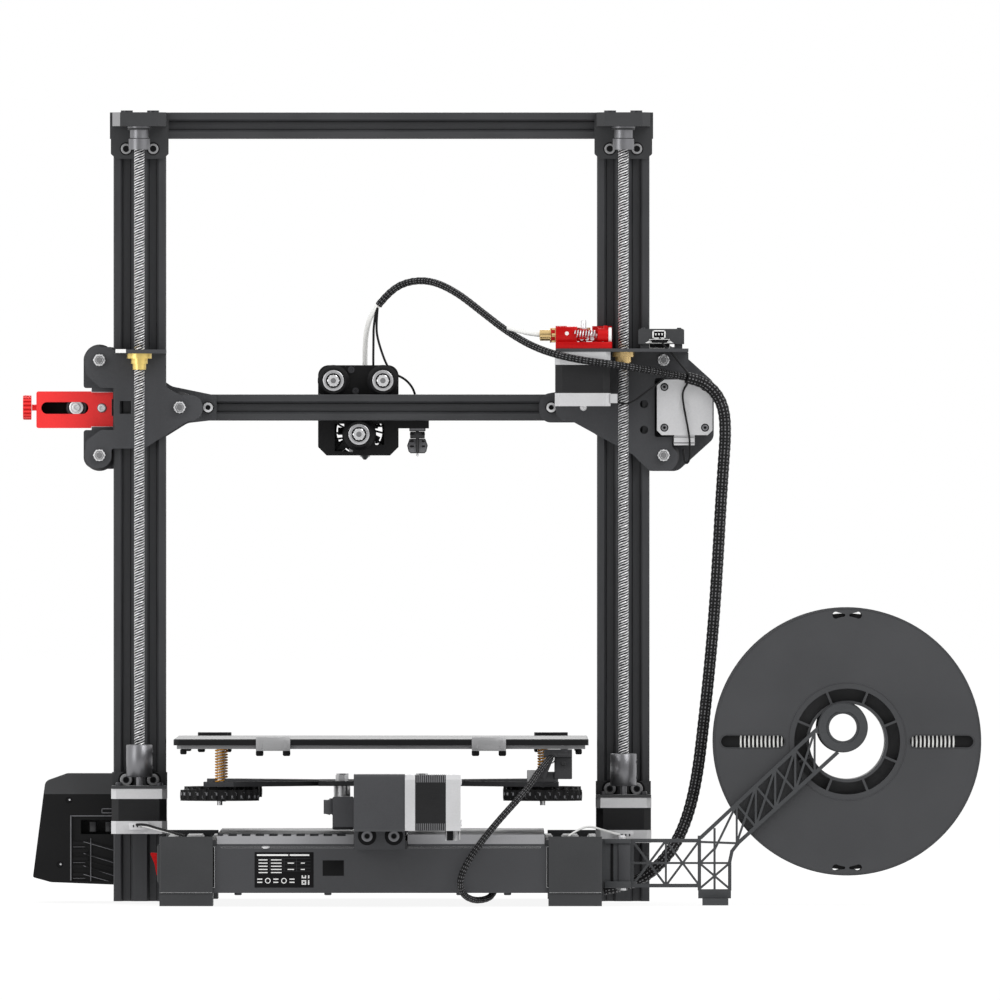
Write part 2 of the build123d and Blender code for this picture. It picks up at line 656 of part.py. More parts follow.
def wheel_holes(side, rear):
    """Clearance holes for the three wheel bolts of one side."""
    for x, z in Z_WHEELS:
        rod((side * x, rear + 1, z), FRONT, BOLT_HOLE, PLATE + 2, Mode.SUBTRACT)


def make_gantry_plates():
    """End plates before and behind each upright, the rear ones with the shelf for nut and extruder."""
    with BuildPart() as gantry_plates:
        upright_plate(
            [(164.2, 421.8), (164.2, 393), (153, 387.3), (136.2, 387.3), (136.2, 367.6), (147.5, 367.6),
             (180.6, 346.5), (205.8, 346.5), (205.8, 331.7), (225.6, 331.7), (225.6, 352), (214, 360.7),
             (203.3, 360.7), (203.3, 392.7), (214, 392.7), (225.6, 403), (225.6, 423.9), (205.8, 423.9),
             (204.8, 421.8)],
            [1, 5, 3, 9.4, 9.4, 4, 6, 2, 9.4, 9.4, 6, 4, 1, 1, 4, 6, 9.4, 1, 0.5], 15, PLATE,
        )
        block((191, 199.5), (11, 16), (373, 382.8), Mode.SUBTRACT)
        wheel_holes(1, 15)
        block((163.8, 202.3), (15, 46), (418.8, 421.8))
        upright_plate(
            [(-132.6, 420), (-132.6, 367.6), (-144.6, 367.6), (-191.3, 342), (-204.2, 329.4), (-225.7, 329.4),
             (-225.7, 343), (-221.5, 348), (-221.5, 355.3), (-208.1, 355.3), (-208.1, 400.3), (-233.9, 400.3),
             (-233.9, 420)],
            [1, 9, 3, 8, 8, 9, 2, 2, 1, 2, 2, 1, 1], 15, PLATE,
        )
        wheel_holes(-1, 15)
        block((-233.6, -132.6), (12, 58), (FLANGE_Z, FLANGE_Z + 2.5))
        rod((-UPRIGHT_X, SCREW_Y, FLANGE_Z - 1), UP, 6.2, 6, Mode.SUBTRACT)
        rod((UPRIGHT_X, SCREW_Y, FLANGE_Z - 3), UP, 6.2, 6, Mode.SUBTRACT)
        rod((EXTRUDER_X, EXTRUDER_Y, FLANGE_Z - 1), UP, 11.3, 5, Mode.SUBTRACT)
        upright_plate(
            [(126, 387), (126, 368.5), (148, 366), (204, 331), (227.4, 331), (227.4, 360.7), (205, 360.7),
             (205, 392.7), (227.4, 392.7), (227.4, 423), (204, 424), (160, 394)],
            [1, 1, 10, 8, 9, 2, 1, 1, 2, 9, 8, 10], -12, PLATE,
        )
        wheel_holes(1, -12)
        rod((132.4, -11, X_BEAM_Z), FRONT, BOLT_HOLE, 5, Mode.SUBTRACT)
        upright_plate(
            [(-120.2, 387.6), (-120.2, 366.4), (-150, 366.4), (-204, 329.4), (-226, 329.4), (-253.4, 354.2),
             (-253.4, 397.3), (-233.9, 414.9), (-226, 424), (-204, 424), (-160, 394)],
            [9, 9, 8, 9, 9, 8, 8, 4, 8, 8, 10], -12, PLATE,
        )
        wheel_holes(-1, -12)
        rod((X_PULLEY_X, -11, X_BEAM_Z), FRONT, 11.3, 5, Mode.SUBTRACT)
        rod((-129.4, -11, X_BEAM_Z), FRONT, BOLT_HOLE, 5, Mode.SUBTRACT)
        for z in (380.4, 360.8):
            rod((-200.1, 11, z), REAR, 3.1, 5, Mode.SUBTRACT)
    done(gantry_plates, "gantry_plates")


def make_z_wheels():
    """Six wheels that clamp the gantry on the uprights."""
    with BuildPart() as z_wheels:
        for side in (1, -1):
            for x, z in Z_WHEELS:
                v_wheel((side * x, 0, z), REAR)
    done(z_wheels, "z_wheels")


def make_gantry_bolts():
    """Wheel bolts with their spacers and nuts, and the screws that hold the beam."""
    half = WHEEL_TREAD / 2 + WHEEL_BEVEL + 0.1
    with BuildPart() as gantry_bolts:
        for side in (1, -1):
            for x, z in Z_WHEELS:
                front_end = (0, 0) if z == X_BEAM_Z else (PLATE, 3.6)
                rear_end = (PLATE, 0) if z == X_BEAM_Z and side < 0 else (PLATE, 4)
                wheel_bolt((side * x, 0, z), REAR, 12 - half, 12 - half, front_end, rear_end)
        for x in (132.4, -129.4):
            cap_screw((x, -12, X_BEAM_Z), FRONT, 7.5, head_r=4.4, head=4)
    done(gantry_bolts, "gantry_bolts")


def make_z_nuts():
    """Flanged brass nuts under the two shelves."""
    with BuildPart() as z_nuts:
        for x, top, flange in ((UPRIGHT_X, 418.8, 9.5), (-UPRIGHT_X, FLANGE_Z, 8.5)):
            rod((x, SCREW_Y, top), DOWN, flange, 3.8)
            rod((x, SCREW_Y, top - 3.8), DOWN, 6.4, 4.0)
            rod((x, SCREW_Y, top - 7.8), DOWN, 5.2, 4.5)
            rod((x, SCREW_Y, top), UP, 5.6, 2.4)
            rod((x, SCREW_Y, top - 13), UP, SCREW_R + SLIP, 20, Mode.SUBTRACT)
    done(z_nuts, "z_nuts")


def make_gantry_motors():
    """Stepper of the X belt behind the left front plate, and the extruder's stepper under the shelf."""
    with BuildPart() as gantry_motors:
        stepper((X_PULLEY_X, -12, X_BEAM_Z), FRONT, (BELL, 8.0), 18.3, 20)
        block((X_PULLEY_X - 7.6, X_PULLEY_X + 8.2), (14, 20), (X_BEAM_Z - 28.9, X_BEAM_Z - 21))
        stepper((EXTRUDER_X, EXTRUDER_Y, FLANGE_Z), UP, (9.9, 9.9), 21.5, 18)
        block((-179.6, -174), (43, 55), (381, 388))
    done(gantry_motors, "gantry_motors")


def make_extruder_body():
    """Extruder base with the filament block, the drive gear and the brass fitting for the tube."""
    low = FLANGE_Z + 2.5
    with BuildPart() as extruder_body:
        block((-175.5, -132.6), (16, 57), (low, 427.6))
        block((-175.5, -160.5), (17, 31), (427.6, 439.7))
        block((-141, -132.6), (24, 50), (427.6, 439.7))
        rod((EXTRUDER_X, EXTRUDER_Y, low - 1), UP, 11.5, 12, Mode.SUBTRACT)
        ring((EXTRUDER_X, EXTRUDER_Y, 428.5), UP, 5.6, 2.6, 10)
        rod((-133, FILAMENT_Y, FILAMENT_Z), EAST, 4.0, 11.5)
        rod((-132.2, FILAMENT_Y, FILAMENT_Z), EAST, 5.6, 3.5)
        rod((-142, FILAMENT_Y, FILAMENT_Z), EAST, 1.2, 18, Mode.SUBTRACT)
        rod((-121.5, FILAMENT_Y, FILAMENT_Z), WEST, 2.05, 6, Mode.SUBTRACT)
        rod((*LEVER_PIN, 427), UP, 1.5, 13)
    done(extruder_body, "extruder_body")


def make_extruder_lever():
    """Spring-loaded lever that presses the idler bearing against the drive gear."""
    with BuildPart() as extruder_lever:
        block((-174.5, -146.5), (51.5, 56.5), (428.0, 439.4))
        block((-174.5, -166.5), (45.5, 56.5), (428.0, 439.4))
        rod((-153.2, 48.8, 429.5), UP, 4.6, 7.6)
        block((-156, -150.4), (48.8, 52), (429.5, 437.1))
        fillet(extruder_lever.edges().filter_by(Axis.Z).filter_by(lambda e: e.center().Y > 56), 1.5)
        rod((*LEVER_PIN, 427), UP, 1.5 + SLIP, 14, Mode.SUBTRACT)
    done(extruder_lever, "extruder_lever")


def make_filament_sensor():
    """Run-out sensor with its guide hole, on the shelf's outer end."""
    low = FLANGE_Z + 2.5
    with BuildPart() as filament_sensor:
        block((-230.4, -195.5), (32, 52), (low + 3.4, 437.5))
        for x in (-226, -200):
            block((x - 3, x + 3), (34, 50), (low, low + 3.5))
        rod((-231, FILAMENT_Y, FILAMENT_Z), EAST, 1.2, 40, Mode.SUBTRACT)
        block((-216.4, -205.9), (49, 53), (429.8, 436.5), Mode.SUBTRACT)
        chamfer(filament_sensor.edges().filter_by(Axis.Y).filter_by(lambda e: e.center().Z > 437), 1.0)
    done(filament_sensor, "filament_sensor")


def make_x_belt():
    """Closed belt of the print head, in the beam's upper and lower slots, with its two pulleys."""
    span = X_IDLER_X - X_PULLEY_X
    middle = ((X_IDLER_X + X_PULLEY_X) / 2, X_BEAM_Z)
    with BuildPart() as x_belt:
        with BuildSketch(Plane.XZ.offset(-(X_BEAM_Y + BELT_WIDE / 2))):
            with Locations(middle):
                SlotCenterToCenter(span, 2 * (BELT_INNER_R + BELT_THICK))
                SlotCenterToCenter(span, 2 * BELT_INNER_R, mode=Mode.SUBTRACT)
        extrude(amount=BELT_WIDE)
        for x, bore in ((X_PULLEY_X, 2.6), (X_IDLER_X, 2.1)):
            ring((x, X_BEAM_Y - 3.4, X_BEAM_Z), REAR, BELT_INNER_R - 0.1, bore, 6.8)
            for y in (-4.4, 3.4):
                ring((x, X_BEAM_Y + y, X_BEAM_Z), REAR, 8.0, bore, 1.0)
    done(x_belt, "x_belt")


def make_x_tensioner():
    """Belt tensioner on the beam's end: a slotted shell with the idler's pin and the threaded stem."""
    with BuildPart() as x_tensioner:
        block((204.6, 263.5), (-35, -15.2), (362.2, 390.2))
        fillet(x_tensioner.edges().filter_by(Axis.Y), 1.6)
        block((204, 258.5), (-31, -19.2), (366.5, 386.5), Mode.SUBTRACT)
        with BuildSketch(Plane.XZ.offset(14)):
            with Locations((241.8, 377.5)):
                SlotOverall(36.0, 9.0)
        extrude(amount=22, mode=Mode.SUBTRACT)
        rod((X_IDLER_X, -34.5, X_BEAM_Z), REAR, 2.0, 18.8)
        rod((263.4, X_BEAM_Y, X_BEAM_Z), EAST, 2.4, 3.6)
    done(x_tensioner, "x_tensioner")


def make_x_tensioner_knob():
    """Knurled knob on the tensioner's stem."""
    with BuildPart() as x_tensioner_knob:
        ring((267.4, X_BEAM_Y, X_BEAM_Z), EAST, 9.0, 2.7, 6.4)
        with BuildSketch(Plane((266.0, X_BEAM_Y, X_BEAM_Z), z_dir=EAST)):
            with PolarLocations(9.2, 18):
                Circle(0.8)
        extrude(amount=9, mode=Mode.SUBTRACT)
    done(x_tensioner_knob, "x_tensioner_knob")


# ---------------------------------------------------------------- print head

def make_carriage_plate():
    """Plate before the beam that carries the wheels and the hot end."""
    with BuildPart() as carriage_plate:
        upright_plate(
            [(-12.8, 410.3), (-12.8, 347.8), (-6.3, 341.3), (42.2, 341.3), (48.7, 347.8), (48.7, 410.3)],
            [8, 1, 1, 1, 1, 8], -38, PLATE
        )
        with BuildSketch(Plane.XZ.offset(38)) as gaps:
            with Locations((32.4, 355)):
                Rectangle(7.2, 21)
            with Locations((1.8, 357.5)):
                Rectangle(7.2, 16)
            with Locations((25.5, 346.5)):
                Rectangle(7, 5)
            with Locations(X_WHEELS[2]):
                Circle(13.0, mode=Mode.SUBTRACT)
        extrude(gaps.sketch, amount=PLATE, mode=Mode.SUBTRACT)
        for x, z in X_WHEELS:
            rod((x, -37, z), FRONT, BOLT_HOLE, 5, Mode.SUBTRACT)
        block((-36, -12.8), (-41, -38), (362, 378))
    done(carriage_plate, "carriage_plate")


def make_carriage_bolts():
    """Bolts, spacers and nuts of the three head wheels."""
    half = WHEEL_TREAD / 2 + WHEEL_BEVEL + 0.1
    with BuildPart() as carriage_bolts:
        for x, z in X_WHEELS:
            gap = abs(X_BEAM_Y - half + 38)
            wheel_bolt((x, X_BEAM_Y, z), REAR, gap, 0.4, (PLATE, 2.0), (0, 3.8))
    done(carriage_bolts, "carriage_bolts")


def make_x_wheel(spot, name):
    """One wheel of the print head, on the beam's upper or lower slot."""
    with BuildPart() as x_wheel:
        v_wheel((spot[0], X_BEAM_Y, spot[1]), REAR)
        for face in (-1, 1):
            edge = X_BEAM_Y + face * (WHEEL_TREAD / 2 + WHEEL_BEVEL)
            with BuildSketch(Plane((spot[0], edge, spot[1]), z_dir=(0, face, 0))):
                Circle(WHEEL_R - WHEEL_BEVEL - 1.4)
                Circle(7.6, mode=Mode.SUBTRACT)
            extrude(amount=-0.9, mode=Mode.SUBTRACT)
    done(x_wheel, name)


def make_hotend():
    """Finned cooler, heater block and nozzle, on the arm that ties them to the plate."""
    with BuildPart() as hotend:
        block((NOZZLE_X - 9, NOZZLE_X + 9), (-70, -41), (386, 396))
        rod((NOZZLE_X, NOZZLE_Y, 355), UP, 4.4, 50)
        rod((NOZZLE_X, NOZZLE_Y, 398), UP, 5.4, 8)
        for step in range(9):
            rod((NOZZLE_X, NOZZLE_Y, 359 + 2.9 * step), UP, 10.0, 1.3)
        rod((NOZZLE_X, NOZZLE_Y, 350), UP, 2.2, 6)
        block((NOZZLE_X - 8, NOZZLE_X + 12), (-68, -52), (343.4, 352.5))
        with BuildSketch(Plane((NOZZLE_X, NOZZLE_Y, NOZZLE_Z))):
            Circle(0.9)
        with BuildSketch(Plane((NOZZLE_X, NOZZLE_Y, NOZZLE_Z + 2.2))):
            Circle(3.2)
        loft()
        hexagon((NOZZLE_X, NOZZLE_Y, NOZZLE_Z + 2.2), UP, 3.9, 3.2)
        rod((NOZZLE_X, NOZZLE_Y, 400), UP, 2.05, 8, Mode.SUBTRACT)
    done(hotend, "hotend")


def make_fan_shroud():
    """Printed shroud round the cooler, open below, with the fan's window and the part cooling ducts."""
    with BuildPart() as fan_shroud:
        upright_plate(
            [(-12.2, 391), (-12.2, 347.6), (-6.2, 341.6), (42.1, 341.6), (48.1, 347.6), (48.1, 391)],
            [2, 1, 1, 1, 1, 2], -41.3, 44.7
        )
        chamfer(fan_shroud.faces().sort_by(Axis.Y)[0].outer_wire().edges(), 1.0)
        block((-10.2, 46.1), (-84, -41), (349, 389), Mode.SUBTRACT)
        block((-4.2, 40.1), (-84, -41), (341, 350), Mode.SUBTRACT)
        block((1.5, 24.5), (-71.5, -40), (385, 392), Mode.SUBTRACT)
        rod((FAN_X, -80, FAN_Z), FRONT, FAN_WINDOW_R, 8, Mode.SUBTRACT)
        rod((FAN_X, -84, FAN_Z), FRONT, 6.0, 2)
        for turn in (30, 150, 270):
            with Locations(Location((FAN_X, -85, FAN_Z), (0, turn, 0))):
                with Locations((11.8, 0, 0)):
                    Box(12.4, 2, 1.6)
        for x, inner in ((-10.4, (-3.4, -0.4)), (36.3, (36.0, 39.0))):
            block((x, x + 10), (-82, -50), (346, 356.2))
            block((x + 1.5, x + 8.5), (-80.5, -51.5), (347.5, 358), Mode.SUBTRACT)
            block(inner, (-76, -56), (348.5, 353), Mode.SUBTRACT)
    done(fan_shroud, "fan_shroud")


def make_hotend_fan():
    """Seven-bladed rotor of the cooling fan, behind the shroud's window."""
    with BuildPart() as hotend_fan:
        rod((FAN_X, -82.5, FAN_Z), REAR, 6.0, 6.5)
        for step in range(7):
            turn = 360 / 7 * step
            spot = (FAN_X + 11.2 * cos(radians(turn)), -79.3, FAN_Z + 11.2 * sin(radians(turn)))
            with Locations(Location(spot, (0, -turn, 0))):
                with Locations(Location((0, 0, 0), (35, 0, 0))):
                    Box(10.6, 1.1, 6.2)
    done(hotend_fan, "hotend_fan")


def make_probe_body():
    """Levelling probe: housing, neck and foot plate, hung from the plate's side arm."""
    with BuildPart() as probe_body:
        block((-35.4, -19.2), (-60, -41.2), (374, 377.5))
        block((-33, -21.4), (-59, -45), (357, 374))
        rod((-27.2, -52, 344), UP, 4.6, 14)
        block((-33, -21.4), (-57, -47), (351, 357))
        rod((-27.2, -52, 343), UP, 1.6, 24, Mode.SUBTRACT)
    done(probe_body, "probe_body")


def make_probe_pin():
    """Probe pin, drawn up at rest."""
    with BuildPart() as probe_pin:
        rod((-27.2, -52, 341.2), UP, 1.0, 20)
        rod((-27.2, -52, 340.5), UP, 0.6, 1)
    done(probe_pin, "probe_pin")


# ---------------------------------------------------------------- bed

def make_bed_carriage():
    """Plate under the bed: a middle part on the rail's wheels and four arms to the level screws."""
    with BuildPart() as bed_carriage:
        with BuildSketch(Plane.XY.offset(CARRIAGE_LOW)):
            with Locations((0, BED_Y)):
                Rectangle(96, 164)
                for sx in (1, -1):
                    for sy in (1, -1):
                        Polygon((sx * 46, sy * 70), (sx * 47, sy * 30), (sx * 135, sy * 106), (sx * 135, sy * 135),
                                (sx * 112, sy * 135), align=None)
        extrude(amount=CARRIAGE_TOP - CARRIAGE_LOW)
        for x, y in LEVEL_POINTS:
            rod((x, y, CARRIAGE_LOW - 1), UP, 2.3, 6, Mode.SUBTRACT)
        for x, y in BED_WHEELS:
            rod((x, y, CARRIAGE_LOW - 1), UP, BOLT_HOLE, 6, Mode.SUBTRACT)
    done(bed_carriage, "bed_carriage")


def make_bed_wheels():
    """Four wheels on the Y rail's upper side slots."""
    with BuildPart() as bed_wheels:
        for x, y in BED_WHEELS:
            v_wheel((x, y, BED_WHEEL_Z), UP)
    done(bed_wheels, "bed_wheels")


def make_bed_bolts():
    """Level screws from the hot plate to the knobs, and the wheel bolts with their spacers."""
    half = WHEEL_TREAD / 2 + WHEEL_BEVEL + 0.1
    with BuildPart() as bed_bolts:
        for x, y in LEVEL_POINTS:
            rod((x, y, 75.3), UP, 2.0, 44.5)
            with Locations((x, y, 119.85)):
                Cone(2.0, 3.8, 1.9)
        for x, y in BED_WHEELS:
            up_gap = CARRIAGE_LOW - BED_WHEEL_Z - half
            wheel_bolt((x, y, BED_WHEEL_Z), UP, 0.4, up_gap, (0, 4.0), (CARRIAGE_TOP - CARRIAGE_LOW, 4.6))
            ring((x, y, BED_WHEEL_Z + half + 1), UP, 6.0, 4.1, up_gap - 1.2)
    done(bed_bolts, "bed_bolts")


def make_bed_springs():
    """Level springs between the carriage plate and the hot plate, as plain sleeves of their outer size."""
    with BuildPart() as bed_springs:
        for x, y in LEVEL_POINTS:
            ring((x, y, CARRIAGE_TOP), UP, 3.8, 2.4, 118.3 - CARRIAGE_TOP)
    done(bed_springs, "bed_springs")


def make_bed_plate():
    """Heated aluminium plate with the countersunk holes of the level screws."""
    with BuildPart() as bed_plate:
        with BuildSketch(Plane.XY.offset(118.3)):
            with Locations((0, BED_Y)):
                RectangleRounded(310, 310, 4)
        extrude(amount=GLASS_BOTTOM - 118.3)
        for x, y in LEVEL_POINTS:
            rod((x, y, 117), UP, 2.2, 5, Mode.SUBTRACT)
            with Locations((x, y, GLASS_BOTTOM - 1.0)):
                Cone(2.2, 4.3, 2.1, mode=Mode.SUBTRACT)
    done(bed_plate, "bed_plate")


def make_bed_glass():
    """Glass build plate."""
    with BuildPart() as bed_glass:
        with BuildSketch(Plane.XY.offset(GLASS_BOTTOM)):
            with Locations((0, BED_Y)):
                RectangleRounded(2 * BED_HALF, 2 * BED_HALF, 5)
        extrude(amount=GLASS_TOP - GLASS_BOTTOM)
        chamfer(bed_glass.faces().sort_by(Axis.Z)[-1].outer_wire().edges(), 0.6)
    done(bed_glass, "bed_glass")


def make_bed_clips():
    """Four spring clips that hold the glass on the plate, two at the rear and two at the front."""
    with BuildPart() as bed_clips:
        for out, spread, top in ((1, 81.9, 127.2), (-1, 129.6, 128.4)):
            edge = BED_Y + out * BED_HALF
            for side in (1, -1):
                x = (side * spread - 13, side * spread + 13)
                block(x, sorted((edge + out * 0.1, edge + out * 1.4)), (116.9, top))
                block(x, sorted((edge + out * 1.4, edge - out * 8)), (GLASS_TOP, top))
                block(x, sorted((edge + out * 1.4, edge - out * 10)), (116.9, 118.3))
                for step in (-9, 9):
                    foot = (side * spread + step - 2.5, side * spread + step + 2.5)
                    block(foot, sorted((edge - out * 2, edge - out * 5)), (113.6, 116.9))
    done(bed_clips, "bed_clips")


def make_level_knob(spot, name):
    """Large level knob with a scalloped rim, a hub and the bore round its screw."""
    x, y = spot
    with BuildPart() as level_knob:
        rod((x, y, 78.8), UP, 30.0, 8.2)
        with BuildSketch(Plane((x, y, 78.0))):
            with PolarLocations(31.0, 24):
                Circle(2.6)
        extrude(amount=10, mode=Mode.SUBTRACT)
        with BuildSketch(Plane((x, y, 84.5))):
            Circle(26)
            Circle(11, mode=Mode.SUBTRACT)
        extrude(amount=4, mode=Mode.SUBTRACT)
        rod((x, y, 80), UP, 8.0, CARRIAGE_LOW - SLIP - 80)
        rod((x, y, 78), UP, 2.0 + SLIP, 14, Mode.SUBTRACT)
    done(level_knob, name)


def make_cable_relief():
    """Clamp under the bed's rear edge where its cable comes in."""
    with BuildPart() as cable_relief:
        block((-145, -117.7), (84, 96), (99, 118.2))
        block((-141, -121), (86, 94), (93.1, 99.1))
        block((-136, -121.4), (96, 99), (103.5, 118.2))
        rod((-128.7, 82, 111), REAR, 2.6, 20, Mode.SUBTRACT)
        block((-116, -110.5), (82, 90), (93.1, 102))
    done(cable_relief, "cable_relief")


# ---------------------------------------------------------------- control box

def make_display_case():
    """Control box at the front right, with a sloping face, ribs on its rear and the screen's pane."""
    with BuildPart() as display_case:
        with BuildSketch(Plane.XZ.offset(40)):
            with BuildLine():
                FilletPolyline(
                    (168, 13.4), (204, 13.4), (252.8, 15.3), (266.6, 19.1), (257.2, 92.5), (240.6, 98.4),
                    (171, 98.4), radius=[3, 8, 6, 1.5, 5, 6, 3], close=True,
                )
            make_face()
        extrude(amount=80)
        with BuildSketch(Plane.YZ.offset(160)):
            with BuildLine():
                Polyline((-40, 13), (-40, 82.6), (-50, 98.4), (-70, 98.4), (-120, 30), (-120, 13), close=True)
            make_face()
        extrude(amount=120, mode=Mode.INTERSECT)
        block((172, 250), (-88, -43), (17, 80), Mode.SUBTRACT)
        block((168.5, 170.5), (-39, -36), (20, 70))
        block((172, 237.5), (-42, -39), (16, 66.5), Mode.SUBTRACT)
        block((176, 230), (-44, -41), (52, 63), Mode.SUBTRACT)
        block((222.4, 223.8), (-42.2, -40.6), (16, 47))
        for z in (40.2, 30.6, 25.0, 20.6):
            with Locations(Location((203, -41.3, z), (0, -15.5, 0))):
                Box(48, 1.8, 1.0)
        for z in (20, 26, 32, 38, 44):
            block((224.5, 236.5), (-42.2, -40.8), (z, z + 2.4))
        block((164.35, 170), (-100, -70), (20, 44))
        slope = Plane((214, -95, 64.2), x_dir=EAST, z_dir=(0, -68.4, 50))
        with BuildSketch(slope.offset(-1.2)):
            with Locations((-12, 4)):
                RectangleRounded(60, 42, 2)
        extrude(amount=20, mode=Mode.SUBTRACT)
        with BuildSketch(slope):
            with Locations((32, -2)):
                Circle(4.2)
        extrude(amount=-9, mode=Mode.SUBTRACT)
    done(display_case, "display_case")


def make_display_knob():
    """Turning knob of the control box, with its shaft in the case."""
    slope = Plane((214, -95, 64.2), x_dir=EAST, z_dir=(0, -68.4, 50))
    with BuildPart() as display_knob:
        with BuildSketch(slope.offset(0.6)):
            with Locations((32, -2)):
                Circle(9.5)
                with PolarLocations(9.9, 24):
                    Circle(0.7, mode=Mode.SUBTRACT)
        extrude(amount=9)
        with BuildSketch(slope.offset(-8)):
            with Locations((32, -2)):
                Circle(3.0)
        extrude(amount=9)
    done(display_knob, "display_knob")


# ---------------------------------------------------------------- cords

LOOM_UPPER = [
    (2.7, -47, 456), (-6, -46, 467), (-20, -42, 474.5), (-38, -32, 475), (-57, -16, 466), (-76, 5, 451),
    (-97, 30, 434.5), (-119, 55, 422), (-145, 66, 414.5), (-176, 64, 410.5), (-207, 47.5, 405.5),
    (-219.6, 35.6, 403), (-231.5, 31.5, 400.8),
]
LOOM_LOWER = [
    (-232.2, 31.3, 400.6), (-242.4, 28.0, 398.4), (-251.4, 27.4, 392.6), (-258, 27.4, 383.7),
    (-261.3, 28, 373), (-262, 29.3, 357), (-260.4, 31.8, 334), (-258.3, 34.5, 303), (-256.4, 38, 268), (-253.6, 42, 224), (-249.8, 46, 180),
    (-245, 52, 136), (-240.4, 60, 98), (-233.6, 69, 68), (-223.5, 78, 45), (-208.5, 85, 27), (-190.5, 89, 15.5),
    (-168.5, 90.5, 11.8),
]
BED_CABLE = [
    (-128.7, 99.3, 111), (-127, 107, 110), (-120, 121, 102), (-111, 136, 88.5), (-99, 150, 75.5),
    (-86, 161, 61), (-73.5, 168, 45.5), (-64, 171, 31), (-59.5, 169, 18.5), (-62, 160, 8.8), (-70, 149, 4.2),
    (-79, 137, 4.6), (-84.5, 127, 7.6), (-86, 121, 11.5),
]
TUBE_FRONT = [
    (2.7, -47, 456), (7.92, -47.6, 449.4), (11.4, -52, 439), (12.7, -56.5, 428), (13, -59.4, 417), (13, -60, 406.2)
]
TUBE_REAR = [
    (-121.4, 42.3, 432.7), (-113, 42.2, 434), (-104.5, 40, 436.4), (-96.5, 35, 438.6)
]


def make_loom_upper():
    """Braided loom from the print head over the beam to the left end plate."""
    with BuildPart() as loom_upper:
        tube(LOOM_UPPER, 5.5, "loom_upper")
    done(loom_upper, "loom_upper", cord=True)


def make_loom_lower():
    """Thicker loom from the left end plate down to the base."""
    with BuildPart() as loom_lower:
        tube(LOOM_LOWER, 9.0, "loom_lower")
    done(loom_lower, "loom_lower", cord=True)


def make_bed_cable():
    """Cable from the bed's clamp down behind the base and in through its floor."""
    with BuildPart() as bed_cable:
        tube(BED_CABLE, 5.0, "bed_cable")
    done(bed_cable, "bed_cable", cord=True)


def make_bowden_tube():
    """White filament tube, bare at both ends of the loom that hides its middle."""
    with BuildPart() as bowden_tube:
        tube(TUBE_FRONT, 4.0, "bowden_tube front")
        tube(TUBE_REAR, 4.0, "bowden_tube rear")
    done(bowden_tube, "bowden_tube", cord=True)


# ---------------------------------------------------------------- build and export

def main():
    make_base_rails()
    make_corner_feet()
    make_base_tray()
    make_base_cover()
    make_electronics()
    make_y_rail()
    make_y_brackets()
    make_y_motor()
    make_y_belt()
    make_power_inlet()
    make_power_switch()
    make_uprights()
    make_top_beam()
    make_screw_brackets()
    make_z_motors()
    make_lead_screw(1, "right_lead_screw")
    make_lead_screw(-1, "left_lead_screw")
    make_frame_screws()
    make_spool_arm()
    make_spool()
    make_x_beam()
    make_gantry_plates()
    make_z_wheels()
    make_gantry_bolts()
    make_z_nuts()
    make_gantry_motors()
    make_extruder_body()
    make_extruder_lever()
    make_filament_sensor()
    make_x_belt()
    make_x_tensioner()
    make_x_tensioner_knob()
    make_carriage_plate()
    make_carriage_bolts()
    for number, spot in enumerate(X_WHEELS, 1):
        make_x_wheel(spot, f"x_wheel_{number}")
    make_hotend()
    make_fan_shroud()
    make_hotend_fan()
    make_probe_body()
    make_probe_pin()
    make_bed_carriage()
    make_bed_wheels()
    make_bed_bolts()
    make_bed_springs()
    make_bed_plate()
    make_bed_glass()
    make_bed_clips()
    for number, spot in enumerate(LEVEL_POINTS, 1):
        make_level_knob(spot, f"level_knob_{number}")
    make_cable_relief()
    make_display_case()
    make_display_knob()
    make_loom_upper()
    make_loom_lower()
    make_bed_cable()
    make_bowden_tube()

    boxes = [piece.part.bounding_box() for piece, cord in finished if not cord]
    low = [min(tuple(box.min)[axis] for box in boxes) for axis in range(3)]
    high = [max(tuple(box.max)[axis] for box in boxes) for axis in range(3)]
    shift = (-(low[0] + high[0]) / 2, -(low[1] + high[1]) / 2, -low[2])
    print("pieces", len(finished), "size", [round(h - b, 2) for h, b in zip(high, low)])
    print("shift", [round(value, 4) for value in shift])
    os.makedirs("parts", exist_ok=True)
    for piece, _ in finished:
        label = piece.part.label
        placed = piece.part.moved(Location(shift))
        placed.label = label
        export_step(placed, f"parts/{label}.step")


main()
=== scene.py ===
import math
from math import cos, pi, radians, sin

